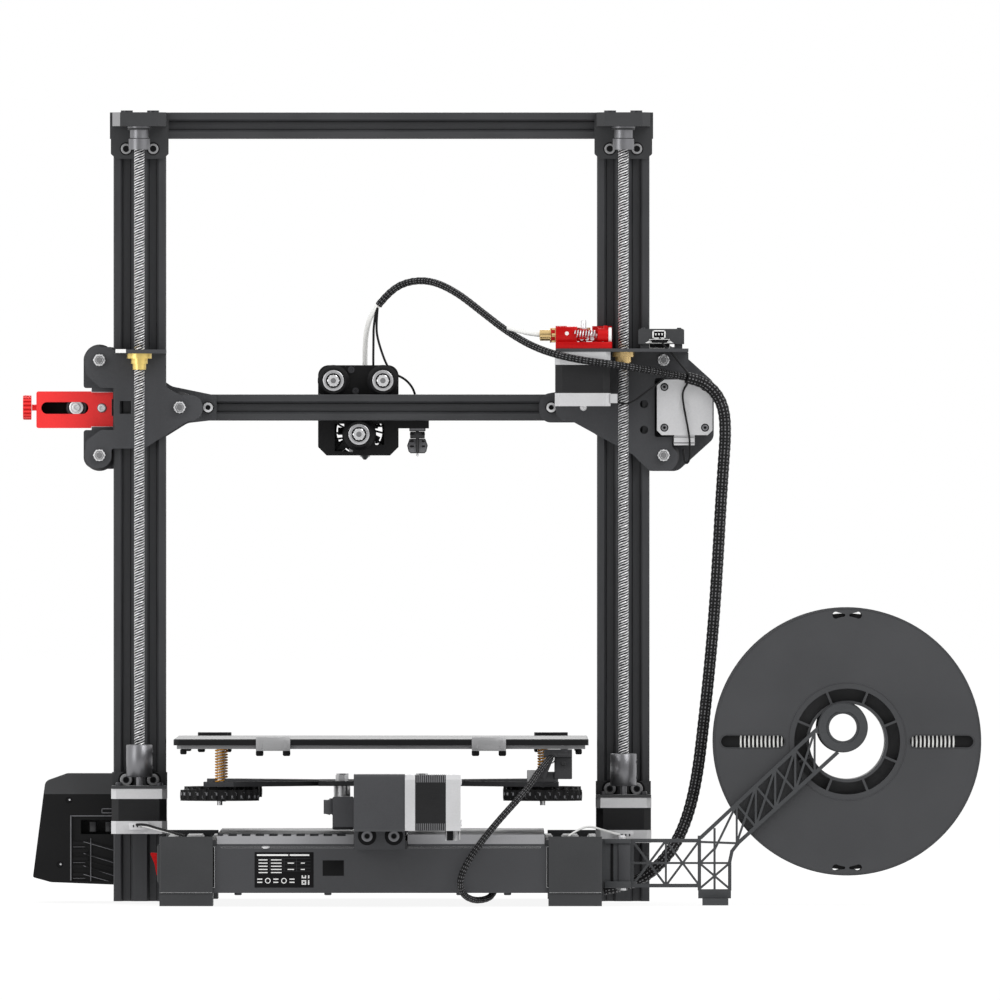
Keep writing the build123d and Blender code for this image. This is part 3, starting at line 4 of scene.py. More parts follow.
import bmesh
import bpy
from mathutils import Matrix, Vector


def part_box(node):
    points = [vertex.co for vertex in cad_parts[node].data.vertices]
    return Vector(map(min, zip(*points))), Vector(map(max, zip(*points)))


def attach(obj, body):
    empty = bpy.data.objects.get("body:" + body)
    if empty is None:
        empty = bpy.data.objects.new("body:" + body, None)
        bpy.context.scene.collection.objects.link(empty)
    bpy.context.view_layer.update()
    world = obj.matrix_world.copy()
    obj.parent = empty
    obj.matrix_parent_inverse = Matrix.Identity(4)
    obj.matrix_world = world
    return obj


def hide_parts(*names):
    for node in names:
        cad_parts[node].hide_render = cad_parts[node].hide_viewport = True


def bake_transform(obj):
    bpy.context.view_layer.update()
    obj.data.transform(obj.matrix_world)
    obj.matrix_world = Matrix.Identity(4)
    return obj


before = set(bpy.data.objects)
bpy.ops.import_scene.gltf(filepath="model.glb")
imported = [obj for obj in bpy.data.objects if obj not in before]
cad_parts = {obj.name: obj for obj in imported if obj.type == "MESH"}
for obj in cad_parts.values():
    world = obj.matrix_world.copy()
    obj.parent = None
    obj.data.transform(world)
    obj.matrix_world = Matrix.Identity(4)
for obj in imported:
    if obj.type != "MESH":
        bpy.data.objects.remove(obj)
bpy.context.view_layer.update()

# Places are in millimetres from the middle of the portal: X = 0 and Y = 0 lie midway between the uprights and
# Z = 0 on the floor. spot() turns them into the frame's metres.
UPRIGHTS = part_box("uprights")
MIDDLE = Vector(((UPRIGHTS[0].x + UPRIGHTS[1].x) / 2, (UPRIGHTS[0].y + UPRIGHTS[1].y) / 2, 0.0))
MM = 0.001


def spot(x, y, z):
    return MIDDLE + Vector((x, y, z)) * MM


def home(point):
    """Millimetres from the middle of the portal, for a point in the frame."""
    return (Vector(point) - MIDDLE) / MM


# ---------------------------------------------------------------- places that the pieces share

RIGHT, LEFT = (1, 0, 0), (-1, 0, 0)
REAR, FRONT = (0, 1, 0), (0, -1, 0)
UP, DOWN = (0, 0, 1), (0, 0, -1)
SIDES = (1, -1)
BAR_HALF = 20.0                 # half of the widest slotted bar
BAR_LIP = 1.6                   # skin of a bar that isn't slot
UPRIGHT_X = 184.25
SCREW_Y = 33.3
LEFT_DROP = 6.8                 # how much lower the left lift motor sits
SCREW_X = {"right_screw": UPRIGHT_X, "left_screw": -UPRIGHT_X}
SCREW_LOW = {"right_screw": 108.0, "left_screw": 108.0 - LEFT_DROP}
SCREW_TOP = 584.0
COUPLER_LOW = {"right_screw": 96.5, "left_screw": 96.5 - LEFT_DROP}
MOTOR_BOLT = 15.5               # a stepper's bolts from its middle
LEVEL_POINTS = [(sx * 122.7, -60 + sy * 122.5) for sy in SIDES for sx in SIDES]
GLASS_TOP = 125.8
BEAM_Z = 377.9
X_MOTOR = (-231.0, 22.0, BEAM_Z)
X_IDLER = 233.0
EXTRUDER_X, EXTRUDER_Y = -153.2, 36.3
FITTING = (-132.6, 42.3, 432.7)
SPOOL_X, SPOOL_Z = -353.7, 124.1
SPOOL_FRONT, SPOOL_REAR = 35.0, 103.0
WOUND_R = 83.0
ARM_X, ARM_Z = -350.3, 134.8
HEAD_WHEELS = [(36.9, 398.4), (-0.9, 398.4), (17.3, 357.4)]
PLATE_NUTS = [(215.0, 413.9), (215.0, 341.4), (153.8, BEAM_Z), (-215.0, 413.9), (-215.0, 341.4)]
REAR_WALL = 151.2
SLOPE_AT = (214, -95, 64.2)     # middle of the control box's sloping face
SLOPE_SIN, SLOPE_COS = 0.8073, 0.5901

# ---------------------------------------------------------------- materials

PATCHES = 18.0                  # scale of the broad noise


def settle(node, **inputs):
    """Sets a node's inputs, with _ for each space in their names."""
    for name, value in inputs.items():
        node.inputs[name.replace("_", " ")].default_value = value
    return node


def node_of(tree, kind, **inputs):
    return settle(tree.nodes.new(kind), **inputs)


def link(tree, source, output, target, socket):
    tree.links.new(source.outputs[output], target.inputs[socket])


def surface(name, colour, rough=0.45, metal=0.0, vary=0.25, grain=900.0, stretch=(1, 1, 1), bump=0.15,
            coat=0.0, spread=0.12, gleam=0.4):
    """Principled material whose colour, roughness and fine relief come from two noises in object space."""
    material = bpy.data.materials.new(name)
    material.use_nodes = True
    tree = material.node_tree
    shader = settle(tree.nodes["Principled BSDF"], Metallic=metal, Coat_Weight=coat, Specular_IOR_Level=gleam)
    where = node_of(tree, "ShaderNodeTexCoord")
    scale = node_of(tree, "ShaderNodeMapping", Scale=stretch)
    fine = node_of(tree, "ShaderNodeTexNoise", Scale=grain, Detail=3.0, Roughness=0.6)
    broad = node_of(tree, "ShaderNodeTexNoise", Scale=PATCHES, Detail=4.0, Roughness=0.55)
    link(tree, where, "Object", scale, "Vector")
    link(tree, scale, "Vector", fine, "Vector")
    link(tree, where, "Object", broad, "Vector")
    both = node_of(tree, "ShaderNodeMix", Factor=0.5)
    link(tree, fine, "Fac", both, "A")
    link(tree, broad, "Fac", both, "B")
    ramp = tree.nodes.new("ShaderNodeValToRGB")
    for stop, place, share in zip(ramp.color_ramp.elements, (0.3, 0.7), (1 - vary, 1 + vary)):
        stop.position = place
        stop.color = (*(min(1.0, c * share) for c in colour), 1)
    link(tree, both, "Result", ramp, "Fac")
    link(tree, ramp, "Color", shader, "Base Color")
    level = node_of(tree, "ShaderNodeMapRange", From_Min=0.3, From_Max=0.7, To_Min=max(0.05, rough - spread),
                    To_Max=min(1.0, rough + spread))
    link(tree, broad, "Fac", level, "Value")
    link(tree, level, "Result", shader, "Roughness")
    relief = node_of(tree, "ShaderNodeBump", Strength=bump, Distance=0.0002)
    link(tree, fine, "Fac", relief, "Height")
    link(tree, relief, "Normal", shader, "Normal")
    return material


ANODISED = (0.046, 0.047, 0.05)
BAR_X = surface("bar_along_x", ANODISED, 0.42, 0.35, 0.12, 500, (0.05, 1, 1), 0.08)
BAR_Y = surface("bar_along_y", ANODISED, 0.42, 0.35, 0.12, 500, (1, 0.05, 1), 0.08)
BAR_Z = surface("bar_along_z", ANODISED, 0.42, 0.35, 0.12, 500, (1, 1, 0.05), 0.08)
COATED = surface("coated_steel", (0.045, 0.046, 0.05), 0.5, 0.1, 0.16, 1400, bump=0.3)
COVER = surface("cover_sheet", (0.05, 0.051, 0.055), 0.42, 0.15, 0.1, 1200, bump=0.2)
PLASTIC = surface("moulded_black", (0.03, 0.031, 0.033), 0.48, 0.0, 0.18, 1600, bump=0.25)
GLOSSY = surface("smooth_black", (0.02, 0.02, 0.022), 0.3, 0.0, 0.12, 700, bump=0.05)
PRINTED = surface("layered_black", (0.04, 0.042, 0.045), 0.5, 0.0, 0.15, 1500, (0.05, 0.05, 1), 0.4)
WHEEL = surface("wheel_black", (0.026, 0.026, 0.028), 0.4, 0.0, 0.15, 900, bump=0.1)
LAMINATED = surface("laminations", (0.012, 0.012, 0.013), 0.45, 0.0, 0.25, 900, (0.05, 0.05, 3), 0.5,
                    gleam=0.25)
BELL = surface("cast_bell", (0.6, 0.6, 0.61), 0.42, 0.55, 0.07, 700, bump=0.15)
STEEL = surface("zinc_steel", (0.72, 0.72, 0.73), 0.3, 0.7, 0.1, 800, bump=0.06)
DARK_STEEL = surface("black_oxide", (0.06, 0.06, 0.065), 0.35, 0.7, 0.2, 800, bump=0.08)
SCREW = surface("rolled_screw", (0.86, 0.86, 0.87), 0.3, 0.5, 0.05, 600, bump=0.03)
BRASS = surface("turned_brass", (0.72, 0.52, 0.24), 0.28, 0.9, 0.1, 700, bump=0.06)
RED = surface("red_anodised", (0.5, 0.002, 0.003), 0.34, 0.3, 0.12, 900, bump=0.08, gleam=0.25)
ALUMINIUM = surface("milled_aluminium", (0.62, 0.62, 0.63), 0.35, 0.9, 0.08, 700, bump=0.1)
BELT = surface("belt_rubber", (0.02, 0.02, 0.02), 0.7, 0.0, 0.2, 1500, bump=0.3)
SPRING = surface("spring_enamel", (0.78, 0.36, 0.04), 0.35, 0.15, 0.12, 700, bump=0.06)
GLASS = surface("coated_glass", (0.02, 0.021, 0.023), 0.3, 0.0, 0.12, 1500, bump=0.06, spread=0.02,
                gleam=0.35)
WHITE_TUBE = surface("milky_tube", (0.8, 0.8, 0.78), 0.3, 0.0, 0.05, 300, bump=0.03)
SLEEVE = surface("braided_sleeve", (0.006, 0.006, 0.0065), 0.6, 0.0, 0.3, 1800, bump=0.3, gleam=0.15)
# Grey for the braid's strand tops: a painted highlight on the black sleeve.
STRAND_HIGHLIGHT = surface("braid_painted_highlight", (0.13, 0.13, 0.135), 0.5, 0.0, 0.3, 1800, bump=0.2)
WIRE = surface("wire_black", (0.006, 0.006, 0.0065), 0.5, 0.0, 0.15, 900, bump=0.08, gleam=0.2)
DEEP = surface("deep_black", (0.006, 0.006, 0.0065), 0.5, 0.0, 0.2, 1200, bump=0.12, gleam=0.18)
# Zinc steel darkened for the flat faces of nuts: painted shade beside their chamfers' painted highlight.
NUT_FACE_SHADE = surface("nut_face_painted_shade", (0.2, 0.2, 0.205), 0.35, 0.5, 0.1, 800, bump=0.05)
SPOOL = surface("spool_dark", (0.042, 0.043, 0.046), 0.42, 0.0, 0.1, 1200, bump=0.12)
FILAMENT = surface("white_filament", (0.78, 0.78, 0.76), 0.35, 0.0, 0.06, 600, bump=0.05)
# Black for print and joints, and painted shade: in bar slots, screw sockets, round screw heads and nut holes.
BLACK_PRINT_AND_SHADE = surface("black_print_and_painted_shade", (0.004, 0.004, 0.0045), 0.5, 0.0, 0.1, 900, bump=0.03, gleam=0.12)
# White plastic, also painted glints on the sensor socket's feet.
WHITE_AND_GLINT = surface("white_plastic_and_painted_glint", (0.8, 0.8, 0.79), 0.4, 0.0, 0.05, 700, bump=0.05)
BOARD = surface("board_dark", (0.03, 0.05, 0.04), 0.5, 0.0, 0.3, 600, bump=0.1)
# Near-black for the lead screws' thread roots: painted shade in the grooves.
GROOVE_SHADE = surface("thread_root_painted_shade", (0.012, 0.012, 0.013), 0.5, 0.2, 0.2, 800, bump=0.05, gleam=0.2)
COUPLER = surface("bead_blasted", (0.2, 0.2, 0.21), 0.34, 0.85, 0.04, 1200, bump=0.03, spread=0.01)
# Grey clip steel, also a painted highlight on the right top holder.
CLIP_AND_HIGHLIGHT = surface("clip_steel_and_painted_highlight", (0.3, 0.3, 0.305), 0.45, 0.3, 0.08, 900, bump=0.06)
# Bearing steel, also painted glints on the fan shroud's cut corners.
BEARING_AND_GLINT = surface("bearing_steel_and_painted_glint", (0.5, 0.5, 0.51), 0.32, 0.6, 0.1, 800, bump=0.05)
# Smoky grey plastic, also a painted highlight on the level knobs' grips.
SMOKY_AND_HIGHLIGHT = surface("smoky_plastic_and_painted_highlight", (0.14, 0.14, 0.15), 0.3, 0.0, 0.1, 700, bump=0.04, coat=0.3)
PLATE_EDGE = surface("sawn_edge", (0.2, 0.2, 0.205), 0.45, 0.2, 0.12, 900, bump=0.08)
BRIGHT_RED = surface("bright_red", (0.9, 0.035, 0.035), 0.35, 0.1, 0.08, 900, bump=0.06, gleam=0.3)
YELLOW_BRASS = surface("bright_brass", (0.82, 0.62, 0.2), 0.3, 0.75, 0.1, 700, bump=0.06)
# Lighter grey for the cover's sloped faces: a painted highlight.
BEVEL_HIGHLIGHT = surface("cover_bevel_painted_highlight", (0.26, 0.26, 0.27), 0.45, 0.1, 0.1, 1200, bump=0.15)
SCREEN = surface("screen_pane", (0.01, 0.014, 0.022), 0.2, 0.0, 0.1, 600, bump=0.01, coat=0.3)
WHITE_WIRE = surface("wire_white", (0.8, 0.8, 0.79), 0.4, 0.0, 0.05, 700, bump=0.05)


def dress(node, *materials, rule=None):
    """Gives a CAD node its materials. rule(centre in mm, normal) says which of them each face takes."""
    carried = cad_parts[node]
    carried.data.materials.clear()
    for material in materials:
        carried.data.materials.append(material)
    for face in carried.data.polygons:
        face.material_index = int(rule(home(face.center), face.normal)) if rule else 0


def bells(*zones):
    """Rule for steppers: black laminations in each zone (axis, low, high, box low, box high), else bells."""
    def rule(centre, normal):
        for axis, low, high, box_low, box_high in zones:
            inside = all(l - 0.1 <= c <= h + 0.1 for c, l, h in zip(centre, box_low, box_high))
            if inside and low - 0.01 < centre[axis] < high + 0.01 and abs(normal[axis]) < 0.5:
                return True
        return False
    return rule


def grooved(node, material, across, pair_x=0.0):
    """Gives a bar, or a pair at X = -pair_x and pair_x, its material outside and black painted shade down in
    its slots.
    """
    low, high = (home(corner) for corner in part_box(node))
    def rule(centre, normal):
        for axis in across:
            paired = axis == 0 and pair_x
            middle = math.copysign(pair_x, centre.x) if paired else (low[axis] + high[axis]) / 2
            half = BAR_HALF if paired else (high[axis] - low[axis]) / 2
            off = centre[axis] - middle
            if abs(off) > half - BAR_LIP or (axis == 1 and normal.y * off > 0.95 * abs(off) > 0):
                return False
        return True
    dress(node, material, BLACK_PRINT_AND_SHADE, rule=rule)


for material, nodes in {
    BAR_Y: "base_rails",
    COVER: "base_tray",
    BOARD: "electronics",
    PLASTIC: "corner_feet power_inlet filament_sensor probe_body cable_relief",
    COATED: "y_brackets gantry_plates bed_carriage",
    BELT: "y_belt x_belt",
    RED: "power_switch extruder_body extruder_lever",
    SCREW: "right_lead_screw left_lead_screw",
    PRINTED: "spool_arm",
    WHEEL: "z_wheels bed_wheels",
    STEEL: "gantry_bolts carriage_bolts probe_pin bed_bolts bed_clips",
    BRIGHT_RED: "x_tensioner x_tensioner_knob",
    ALUMINIUM: "hotend",
    SPRING: "bed_springs",
    GLOSSY: "display_knob",
    DEEP: "carriage_plate x_wheel_1 x_wheel_2 x_wheel_3 fan_shroud hotend_fan level_knob_1 level_knob_2 "
          "level_knob_3 level_knob_4",
}.items():
    for node in nodes.split():
        dress(node, material)
grooved("uprights", BAR_Z, (0, 1), UPRIGHT_X)
grooved("top_beam", BAR_X, (1, 2))
grooved("x_beam", BAR_X, (1, 2))
grooved("y_rail", BAR_Y, (0, 2))
dress("bed_glass", GLASS, DEEP, rule=lambda centre, normal: abs(normal.z) < 0.3)
dress("bed_plate", ALUMINIUM, PLATE_EDGE, rule=lambda centre, normal: abs(normal.z) < 0.3)
# The cover's sloped faces take a lighter grey than the rest of the sheet: a painted highlight where the slope
# catches light.
dress("base_cover", COVER, BEVEL_HIGHLIGHT, rule=lambda centre, normal: 0.3 < normal.z < 0.95 and normal.y > 0.2)
dress("display_case", PLASTIC, DEEP, rule=lambda centre, normal: centre.y > -75 and (
    normal.y > 0.9 or (centre.y < -40.4 and abs(normal.y) < 0.1 and 171 < centre.x < 251)))
# High on the right holder, faces turned to +X and +Y take the lighter grey: a painted highlight.
dress("screw_brackets", PLASTIC, CLIP_AND_HIGHLIGHT, rule=lambda centre, normal: (
    centre.z > 590 and centre.x > 195 and normal.x > 0.3 and normal.y > 0.3))
dress("z_nuts", BRASS, YELLOW_BRASS, rule=lambda centre, normal: centre.x > 0)
dress("spool", SPOOL, FILAMENT, rule=lambda centre, normal: (
    SPOOL_FRONT + 3.2 < centre.y < SPOOL_REAR - 3.2
    and abs(math.hypot(centre.x - SPOOL_X, centre.z - SPOOL_Z) - WOUND_R) < 1))
dress("frame_screws", DARK_STEEL, STEEL, rule=lambda centre, normal: centre.z > 560 and centre.y > 10)
dress("z_motors", BELL, LAMINATED, rule=bells(
    (2, 56.3, 73.2, (-210, 0, 53), (-160, 60, 76)), (2, 63.1, 80.0, (160, 0, 60), (210, 60, 82))))
dress("y_motor", BELL, LAMINATED, rule=bells((0, -49.5, -26.3, (-50, 170, 50), (-26, 230, 110))))
dress("gantry_motors", BELL, LAMINATED, rule=bells(
    (1, -4.3, 14.0, (-260, -5, 350), (-205, 15, 405)), (2, 388.6, 410.1, (-180, 10, 388), (-130, 60, 411))))

# ---------------------------------------------------------------- mesh helpers

def keep(bm, name, body, *materials, sharp=32.0, slot=None, stands_for=None):
    """Turns a bmesh into a piece that rides on a body, in place of a CAD node, smooth but for sharp edges."""
    bmesh.ops.remove_doubles(bm, verts=bm.verts, dist=1e-6)
    bmesh.ops.recalc_face_normals(bm, faces=bm.faces)
    for face in bm.faces:
        face.smooth = True
    for edge in bm.edges:
        edge.smooth = len(edge.link_faces) == 2 and edge.calc_face_angle(0.0) < radians(sharp)
    data = bpy.data.meshes.new(name)
    bm.to_mesh(data)
    bm.free()
    for material in materials:
        data.materials.append(material)
    piece = bpy.data.objects.new(name, data)
    bpy.context.scene.collection.objects.link(piece)
    if body:
        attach(piece, body)
    if stands_for:
        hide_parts(stands_for)
    return piece


def axes_for(direction):
    """Two unit vectors square to a direction."""
    direction = Vector(direction).normalized()
    side = direction.cross(UP)
    if side.length < 1e-4:
        side = Vector(RIGHT)
    side.normalize()
    return side, direction.cross(side).normalized()


def ring_at(bm, centre, side, up, radius, count):
    """Ring of vertices round a centre, in the plane of two unit vectors."""
    turns = [2 * pi * k / count for k in range(count)]
    return [bm.verts.new(centre + (side * cos(turn) + up * sin(turn)) * radius * MM) for turn in turns]


def skin(bm, low, high, material=0):
    """Faces between two rings of as many vertices."""
    for k in range(len(low)):
        n = (k + 1) % len(low)
        bm.faces.new([low[k], low[n], high[n], high[k]]).material_index = material


def put_box(bm, x, y, z, bevel=0.3, material=0):
    """Box between millimetre limits, with its edges rounded."""
    made = bmesh.ops.create_cube(bm, size=1.0)
    size = Vector((abs(x[1] - x[0]), abs(y[1] - y[0]), abs(z[1] - z[0])))
    centre = spot((x[0] + x[1]) / 2, (y[0] + y[1]) / 2, (z[0] + z[1]) / 2)
    for vert in made["verts"]:
        vert.co = centre + Vector(a * b for a, b in zip(vert.co, size)) * MM
    faces = {face for vert in made["verts"] for face in vert.link_faces}
    for face in faces:
        face.material_index = material
    if bevel:
        edges = list({edge for face in faces for edge in face.edges})
        bmesh.ops.bevel(bm, geom=edges, offset=min(bevel, min(size) * 0.45) * MM, segments=2, affect="EDGES",
                        profile=0.5, clamp_overlap=True)


def put_lathe(bm, profile, base, axis, steps=32, material=0):
    """Turned piece: profile is a list of (radius, distance along the axis) in millimetres from its base."""
    axis = Vector(axis).normalized()
    side, up = axes_for(axis)
    origin = spot(*base)
    rings = []
    for radius, along in profile:
        centre = origin + axis * along * MM
        rings.append(ring_at(bm, centre, side, up, radius, steps) if radius else [bm.verts.new(centre)])
    for low, high in zip(rings, rings[1:]):
        for k in range(steps):
            n = (k + 1) % steps
            corners = [low[k % len(low)], low[n % len(low)], high[n % len(high)], high[k % len(high)]]
            corners = [v for i, v in enumerate(corners) if v not in corners[:i]]
            if len(corners) > 2:
                bm.faces.new(corners).material_index = material


def put_turned(bm, base, axis, steps, *parts):
    """Turned pieces of several materials on one base; each part is a material and its profile."""
    for material, profile in parts:
        put_lathe(bm, profile, base, axis, steps, material)


def put_prism(bm, outline, plane, low, high, bevel=0.0, material=0):
    """Prism over an outline in plane XZ, YZ or the control box's SLOPE, between two levels square to it."""
    def place(u, v, w):
        if plane == "SLOPE":
            x, y, z = SLOPE_AT
            return spot(x + u, y + SLOPE_COS * v - SLOPE_SIN * w, z + SLOPE_SIN * v + SLOPE_COS * w)
        return {"XZ": spot(u, w, v), "YZ": spot(w, u, v)}[plane]
    bottom = [bm.verts.new(place(u, v, low)) for u, v in outline]
    top = [bm.verts.new(place(u, v, high)) for u, v in outline]
    faces = [bm.faces.new(bottom), bm.faces.new(top[::-1])]
    for k in range(len(outline)):
        n = (k + 1) % len(outline)
        faces.append(bm.faces.new([bottom[k], bottom[n], top[n], top[k]]))
    for face in faces:
        face.material_index = material
    if bevel:
        bmesh.ops.recalc_face_normals(bm, faces=faces)
        rims = list({edge for face in faces[:2] for edge in face.edges})
        bmesh.ops.bevel(bm, geom=rims, offset=bevel * MM, segments=2, affect="EDGES", profile=0.5,
                        clamp_overlap=True)


def put_tube(bm, path, radius, sides=10, closed=False, material=0, relief=None):
    """Tube along points of the frame. relief(step, side angle) gives an extra radius in metres."""
    path = [Vector(p) for p in path]
    count = len(path)
    tangents = []
    for k in range(count):
        before = path[k - 1] if k or closed else path[0]
        after = path[(k + 1) % count] if k < count - 1 or closed else path[-1]
        tangents.append((after - before).normalized())
    side = axes_for(tangents[0])[0]
    rings = []
    for k, (point, tangent) in enumerate(zip(path, tangents)):
        side = (side - tangent * side.dot(tangent)).normalized()
        up = tangent.cross(side)
        ring = []
        for s in range(sides):
            turn = 2 * pi * s / sides
            reach = radius * MM + (relief(k, turn) if relief else 0.0)
            ring.append(bm.verts.new(point + (side * cos(turn) + up * sin(turn)) * reach))
        rings.append(ring)
    pairs = list(zip(rings, rings[1:])) + ([(rings[-1], rings[0])] if closed else [])
    for low, high in pairs:
        skin(bm, low, high, material)
    if not closed:
        bm.faces.new(rings[0][::-1]).material_index = material
        bm.faces.new(rings[-1]).material_index = material
    return pairs


def put_screw(bm, seat, away, radius, head=2.6, material=0):
    """Screw head that stands on its seat, with a recess."""
    put_lathe(bm, [(0, 0), (radius, 0), (radius, head - 0.35), (radius - 0.35, head), (radius * 0.6, head),
                   (radius * 0.55, head * 0.45), (0, head * 0.4)], seat, away, 24, material)


def hexagons(bm, seat, away, steps):
    """Rings of six vertices, from pairs of radius and distance."""
    away = Vector(away).normalized()
    side, up = axes_for(away)
    return [ring_at(bm, spot(*seat) + away * along * MM, side, up, reach, 6) for reach, along in steps]


def put_hex(bm, seat, away, radius, height, material=0):
    """Hexagon head with chamfered corners."""
    rings = hexagons(bm, seat, away, ((radius, 0), (radius, height * 0.8), (radius * 0.86, height)))
    bm.faces.new(rings[0][::-1]).material_index = material
    bm.faces.new(rings[-1]).material_index = material
    for low, high in zip(rings, rings[1:]):
        skin(bm, low, high, material)


def put_nut(bm, seat, away, radius, height, bolt=2.3, metal=0, bright=1, dark=2):
    """Hexagon nut with a painted highlight on its chamfer, and the bolt's end in it behind a ring of painted
    shade.
    """
    rings = hexagons(bm, seat, away, (
        (radius, 0), (radius, height * 0.82), (radius * 0.78, height), (bolt + 0.7, height)))
    for low, high, material in zip(rings, rings[1:], (metal, bright, metal)):
        skin(bm, low, high, material)
    end = height + 0.8
    put_turned(bm, seat, away, 24,
               (dark, [(bolt + 0.9, height - 0.05), (bolt - 0.1, height - 0.6)]),
               (metal, [(bolt, height - 0.8), (bolt, end - 0.3), (bolt - 0.3, end), (0, end)]))


def line_of(name, route):
    """Points along the smooth spline that a route of millimetre points controls."""
    data = bpy.data.curves.new(name + "_line", "CURVE")
    data.dimensions = "3D"
    data.resolution_u = 24
    spline = data.splines.new("NURBS")
    spline.points.add(len(route) - 1)
    for point, place in zip(spline.points, route):
        point.co = (*spot(*place), 1.0)
    spline.order_u = 3
    spline.use_endpoint_u = True
    holder = bpy.data.objects.new(name + "_line", data)
    bpy.context.scene.collection.objects.link(holder)
    mesh = bpy.data.meshes.new_from_object(holder)
    points = [v.co.copy() for v in mesh.vertices]
    bpy.data.objects.remove(holder)
    bpy.data.meshes.remove(mesh)
    bpy.data.curves.remove(data)
    return points


def even(points, step):
    """The same line with points at even distances."""
    lengths = [0.0]
    for a, b in zip(points, points[1:]):
        lengths.append(lengths[-1] + (b - a).length)
    count = max(2, round(lengths[-1] / (step * MM)))
    line, k = [], 0
    for n in range(count + 1):
        want = lengths[-1] * n / count
        while k < len(points) - 2 and lengths[k + 1] < want:
            k += 1
        share = (want - lengths[k]) / max(1e-9, lengths[k + 1] - lengths[k])
        line.append(points[k].lerp(points[k + 1], share))
    return line


# ---------------------------------------------------------------- camera and light

camera = bpy.data.objects.new("camera", bpy.data.cameras.new("camera"))
bpy.context.scene.collection.objects.link(camera)
AWAY = 20.0
VIEW_WIDE = 0.7625
camera.data.sensor_width = 36.0
camera.data.lens = 36.0 * AWAY / VIEW_WIDE
camera.data.clip_end = 100.0
camera.location = spot(-90.3, 0, 307.3) + Vector((0, AWAY, 0))
camera.rotation_euler = (radians(90), 0, radians(180))
bpy.context.scene.camera = camera

world = bpy.data.worlds.new("studio")
world.use_nodes = True
sky = world.node_tree
around = node_of(sky, "ShaderNodeTexCoord")
towards = node_of(sky, "ShaderNodeVectorMath")
towards.operation = "DOT_PRODUCT"
towards.inputs[1].default_value = REAR
link(sky, around, "Generated", towards, 0)
shade = node_of(sky, "ShaderNodeMapRange", From_Min=0.45, From_Max=0.97, To_Min=1.05, To_Max=0.35)
link(sky, towards, "Value", shade, "Value")
seen = node_of(sky, "ShaderNodeLightPath")
either = node_of(sky, "ShaderNodeMix", B=1.0)
link(sky, seen, "Is Camera Ray", either, "Factor")
link(sky, shade, "Result", either, "A")
settle(sky.nodes["Background"], Color=(1, 1, 1, 1))
link(sky, either, "Result", sky.nodes["Background"], "Strength")
bpy.context.scene.world = world
bpy.context.scene.view_settings.view_transform = "Standard"


def lamp(name, place, target, size, power):
    data = bpy.data.lights.new(name, "AREA")
    data.shape = "RECTANGLE"
    data.size, data.size_y = size
    data.energy = power
    light = bpy.data.objects.new(name, data)
    bpy.context.scene.collection.objects.link(light)
    light.location = place
    light.rotation_euler = (Vector(target) - Vector(place)).to_track_quat("-Z", "Y").to_euler()


lamp("key", (-1.3, 1.8, 1.9), (0, 0, 0.3), (1.4, 1.4), 26)
lamp("fill", (1.7, 1.5, 0.9), (0, 0, 0.3), (1.0, 1.6), 12)
lamp("front", (0.4, -2.0, 1.6), (0, 0, 0.3), (1.6, 1.2), 22)

floor_mesh = bpy.data.meshes.new("floor")
floor_mesh.from_pydata([(-30, -30, 0), (30, -30, 0), (30, 30, 0), (-30, 30, 0)], [], [(0, 1, 2, 3)])
floor = bpy.data.objects.new("floor", floor_mesh)
floor_paint = surface("pale_floor", (0.12, 0.12, 0.12), 0.9, 0.0, 0.02, 20, bump=0.0, gleam=0.0)
settle(floor_paint.node_tree.nodes["Principled BSDF"], Emission_Color=(1, 1, 1, 1), Emission_Strength=0.9)
floor_mesh.materials.append(floor_paint)
bpy.context.scene.collection.objects.link(floor)
floor.location.z = -0.0004

# ---------------------------------------------------------------- cords

LOOM_UPPER = [
    (2.7, -47, 456), (-6, -46, 467), (-20, -42, 474.5), (-38, -32, 475), (-57, -16, 466), (-76, 5, 451),
    (-97, 30, 434.5), (-119, 55, 422), (-145, 66, 414.5), (-176, 64, 410.5), (-207, 47.5, 405.5),
    (-219.6, 35.6, 403), (-231.5, 31.5, 400.8),
]
LOOM_LOWER = [
    (-232.2, 31.3, 400.6), (-242.4, 28.0, 398.4), (-251.4, 27.4, 392.6), (-258, 27.4, 383.7),
    (-261.3, 28, 373), (-262, 29.3, 357), (-260.4, 31.8, 334), (-258.3, 34.5, 303), (-256.4, 38, 268),
    (-253.6, 42, 224), (-249.8, 46, 180), (-245, 52, 136), (-240.4, 60, 98), (-233.6, 69, 68),
    (-223.5, 78, 45), (-208.5, 85, 27), (-190.5, 89, 15.5), (-168.5, 90.5, 11.8),
]
BED_CABLE = [
    (-128.7, 99.3, 111), (-127, 107, 110), (-120, 121, 102), (-111, 136, 88.5), (-99, 150, 75.5),
    (-86, 161, 61), (-73.5, 168, 45.5), (-64, 171, 31), (-59.5, 169, 18.5), (-62, 160, 8.8), (-70, 149, 4.2),
    (-79, 137, 4.6), (-84.5, 127, 7.6), (-86, 121, 11.5),
]
TUBE_FRONT = [
    (2.7, -47, 456), (7.92, -47.6, 449.4), (11.4, -52, 439), (12.7, -56.5, 428), (13, -59.4, 417),
    (13, -60, 406.2),
]
TUBE_REAR = [
    (-126.6, 42.3, 432.7), (-113, 42.2, 434), (-104.5, 40, 436.4), (-96.5, 35, 438.6)
]


SLEEVE_STEP, SLEEVE_SIDES, STRANDS, RISE = 0.7, 30, 10, 2.6


def crossing(step, turn):
    """Heights of the two sets of a braid's strands at a place on its sleeve."""
    along = step * SLEEVE_STEP / RISE
    return sin(turn * STRANDS / 2 + along * pi), sin(turn * STRANDS / 2 - along * pi)


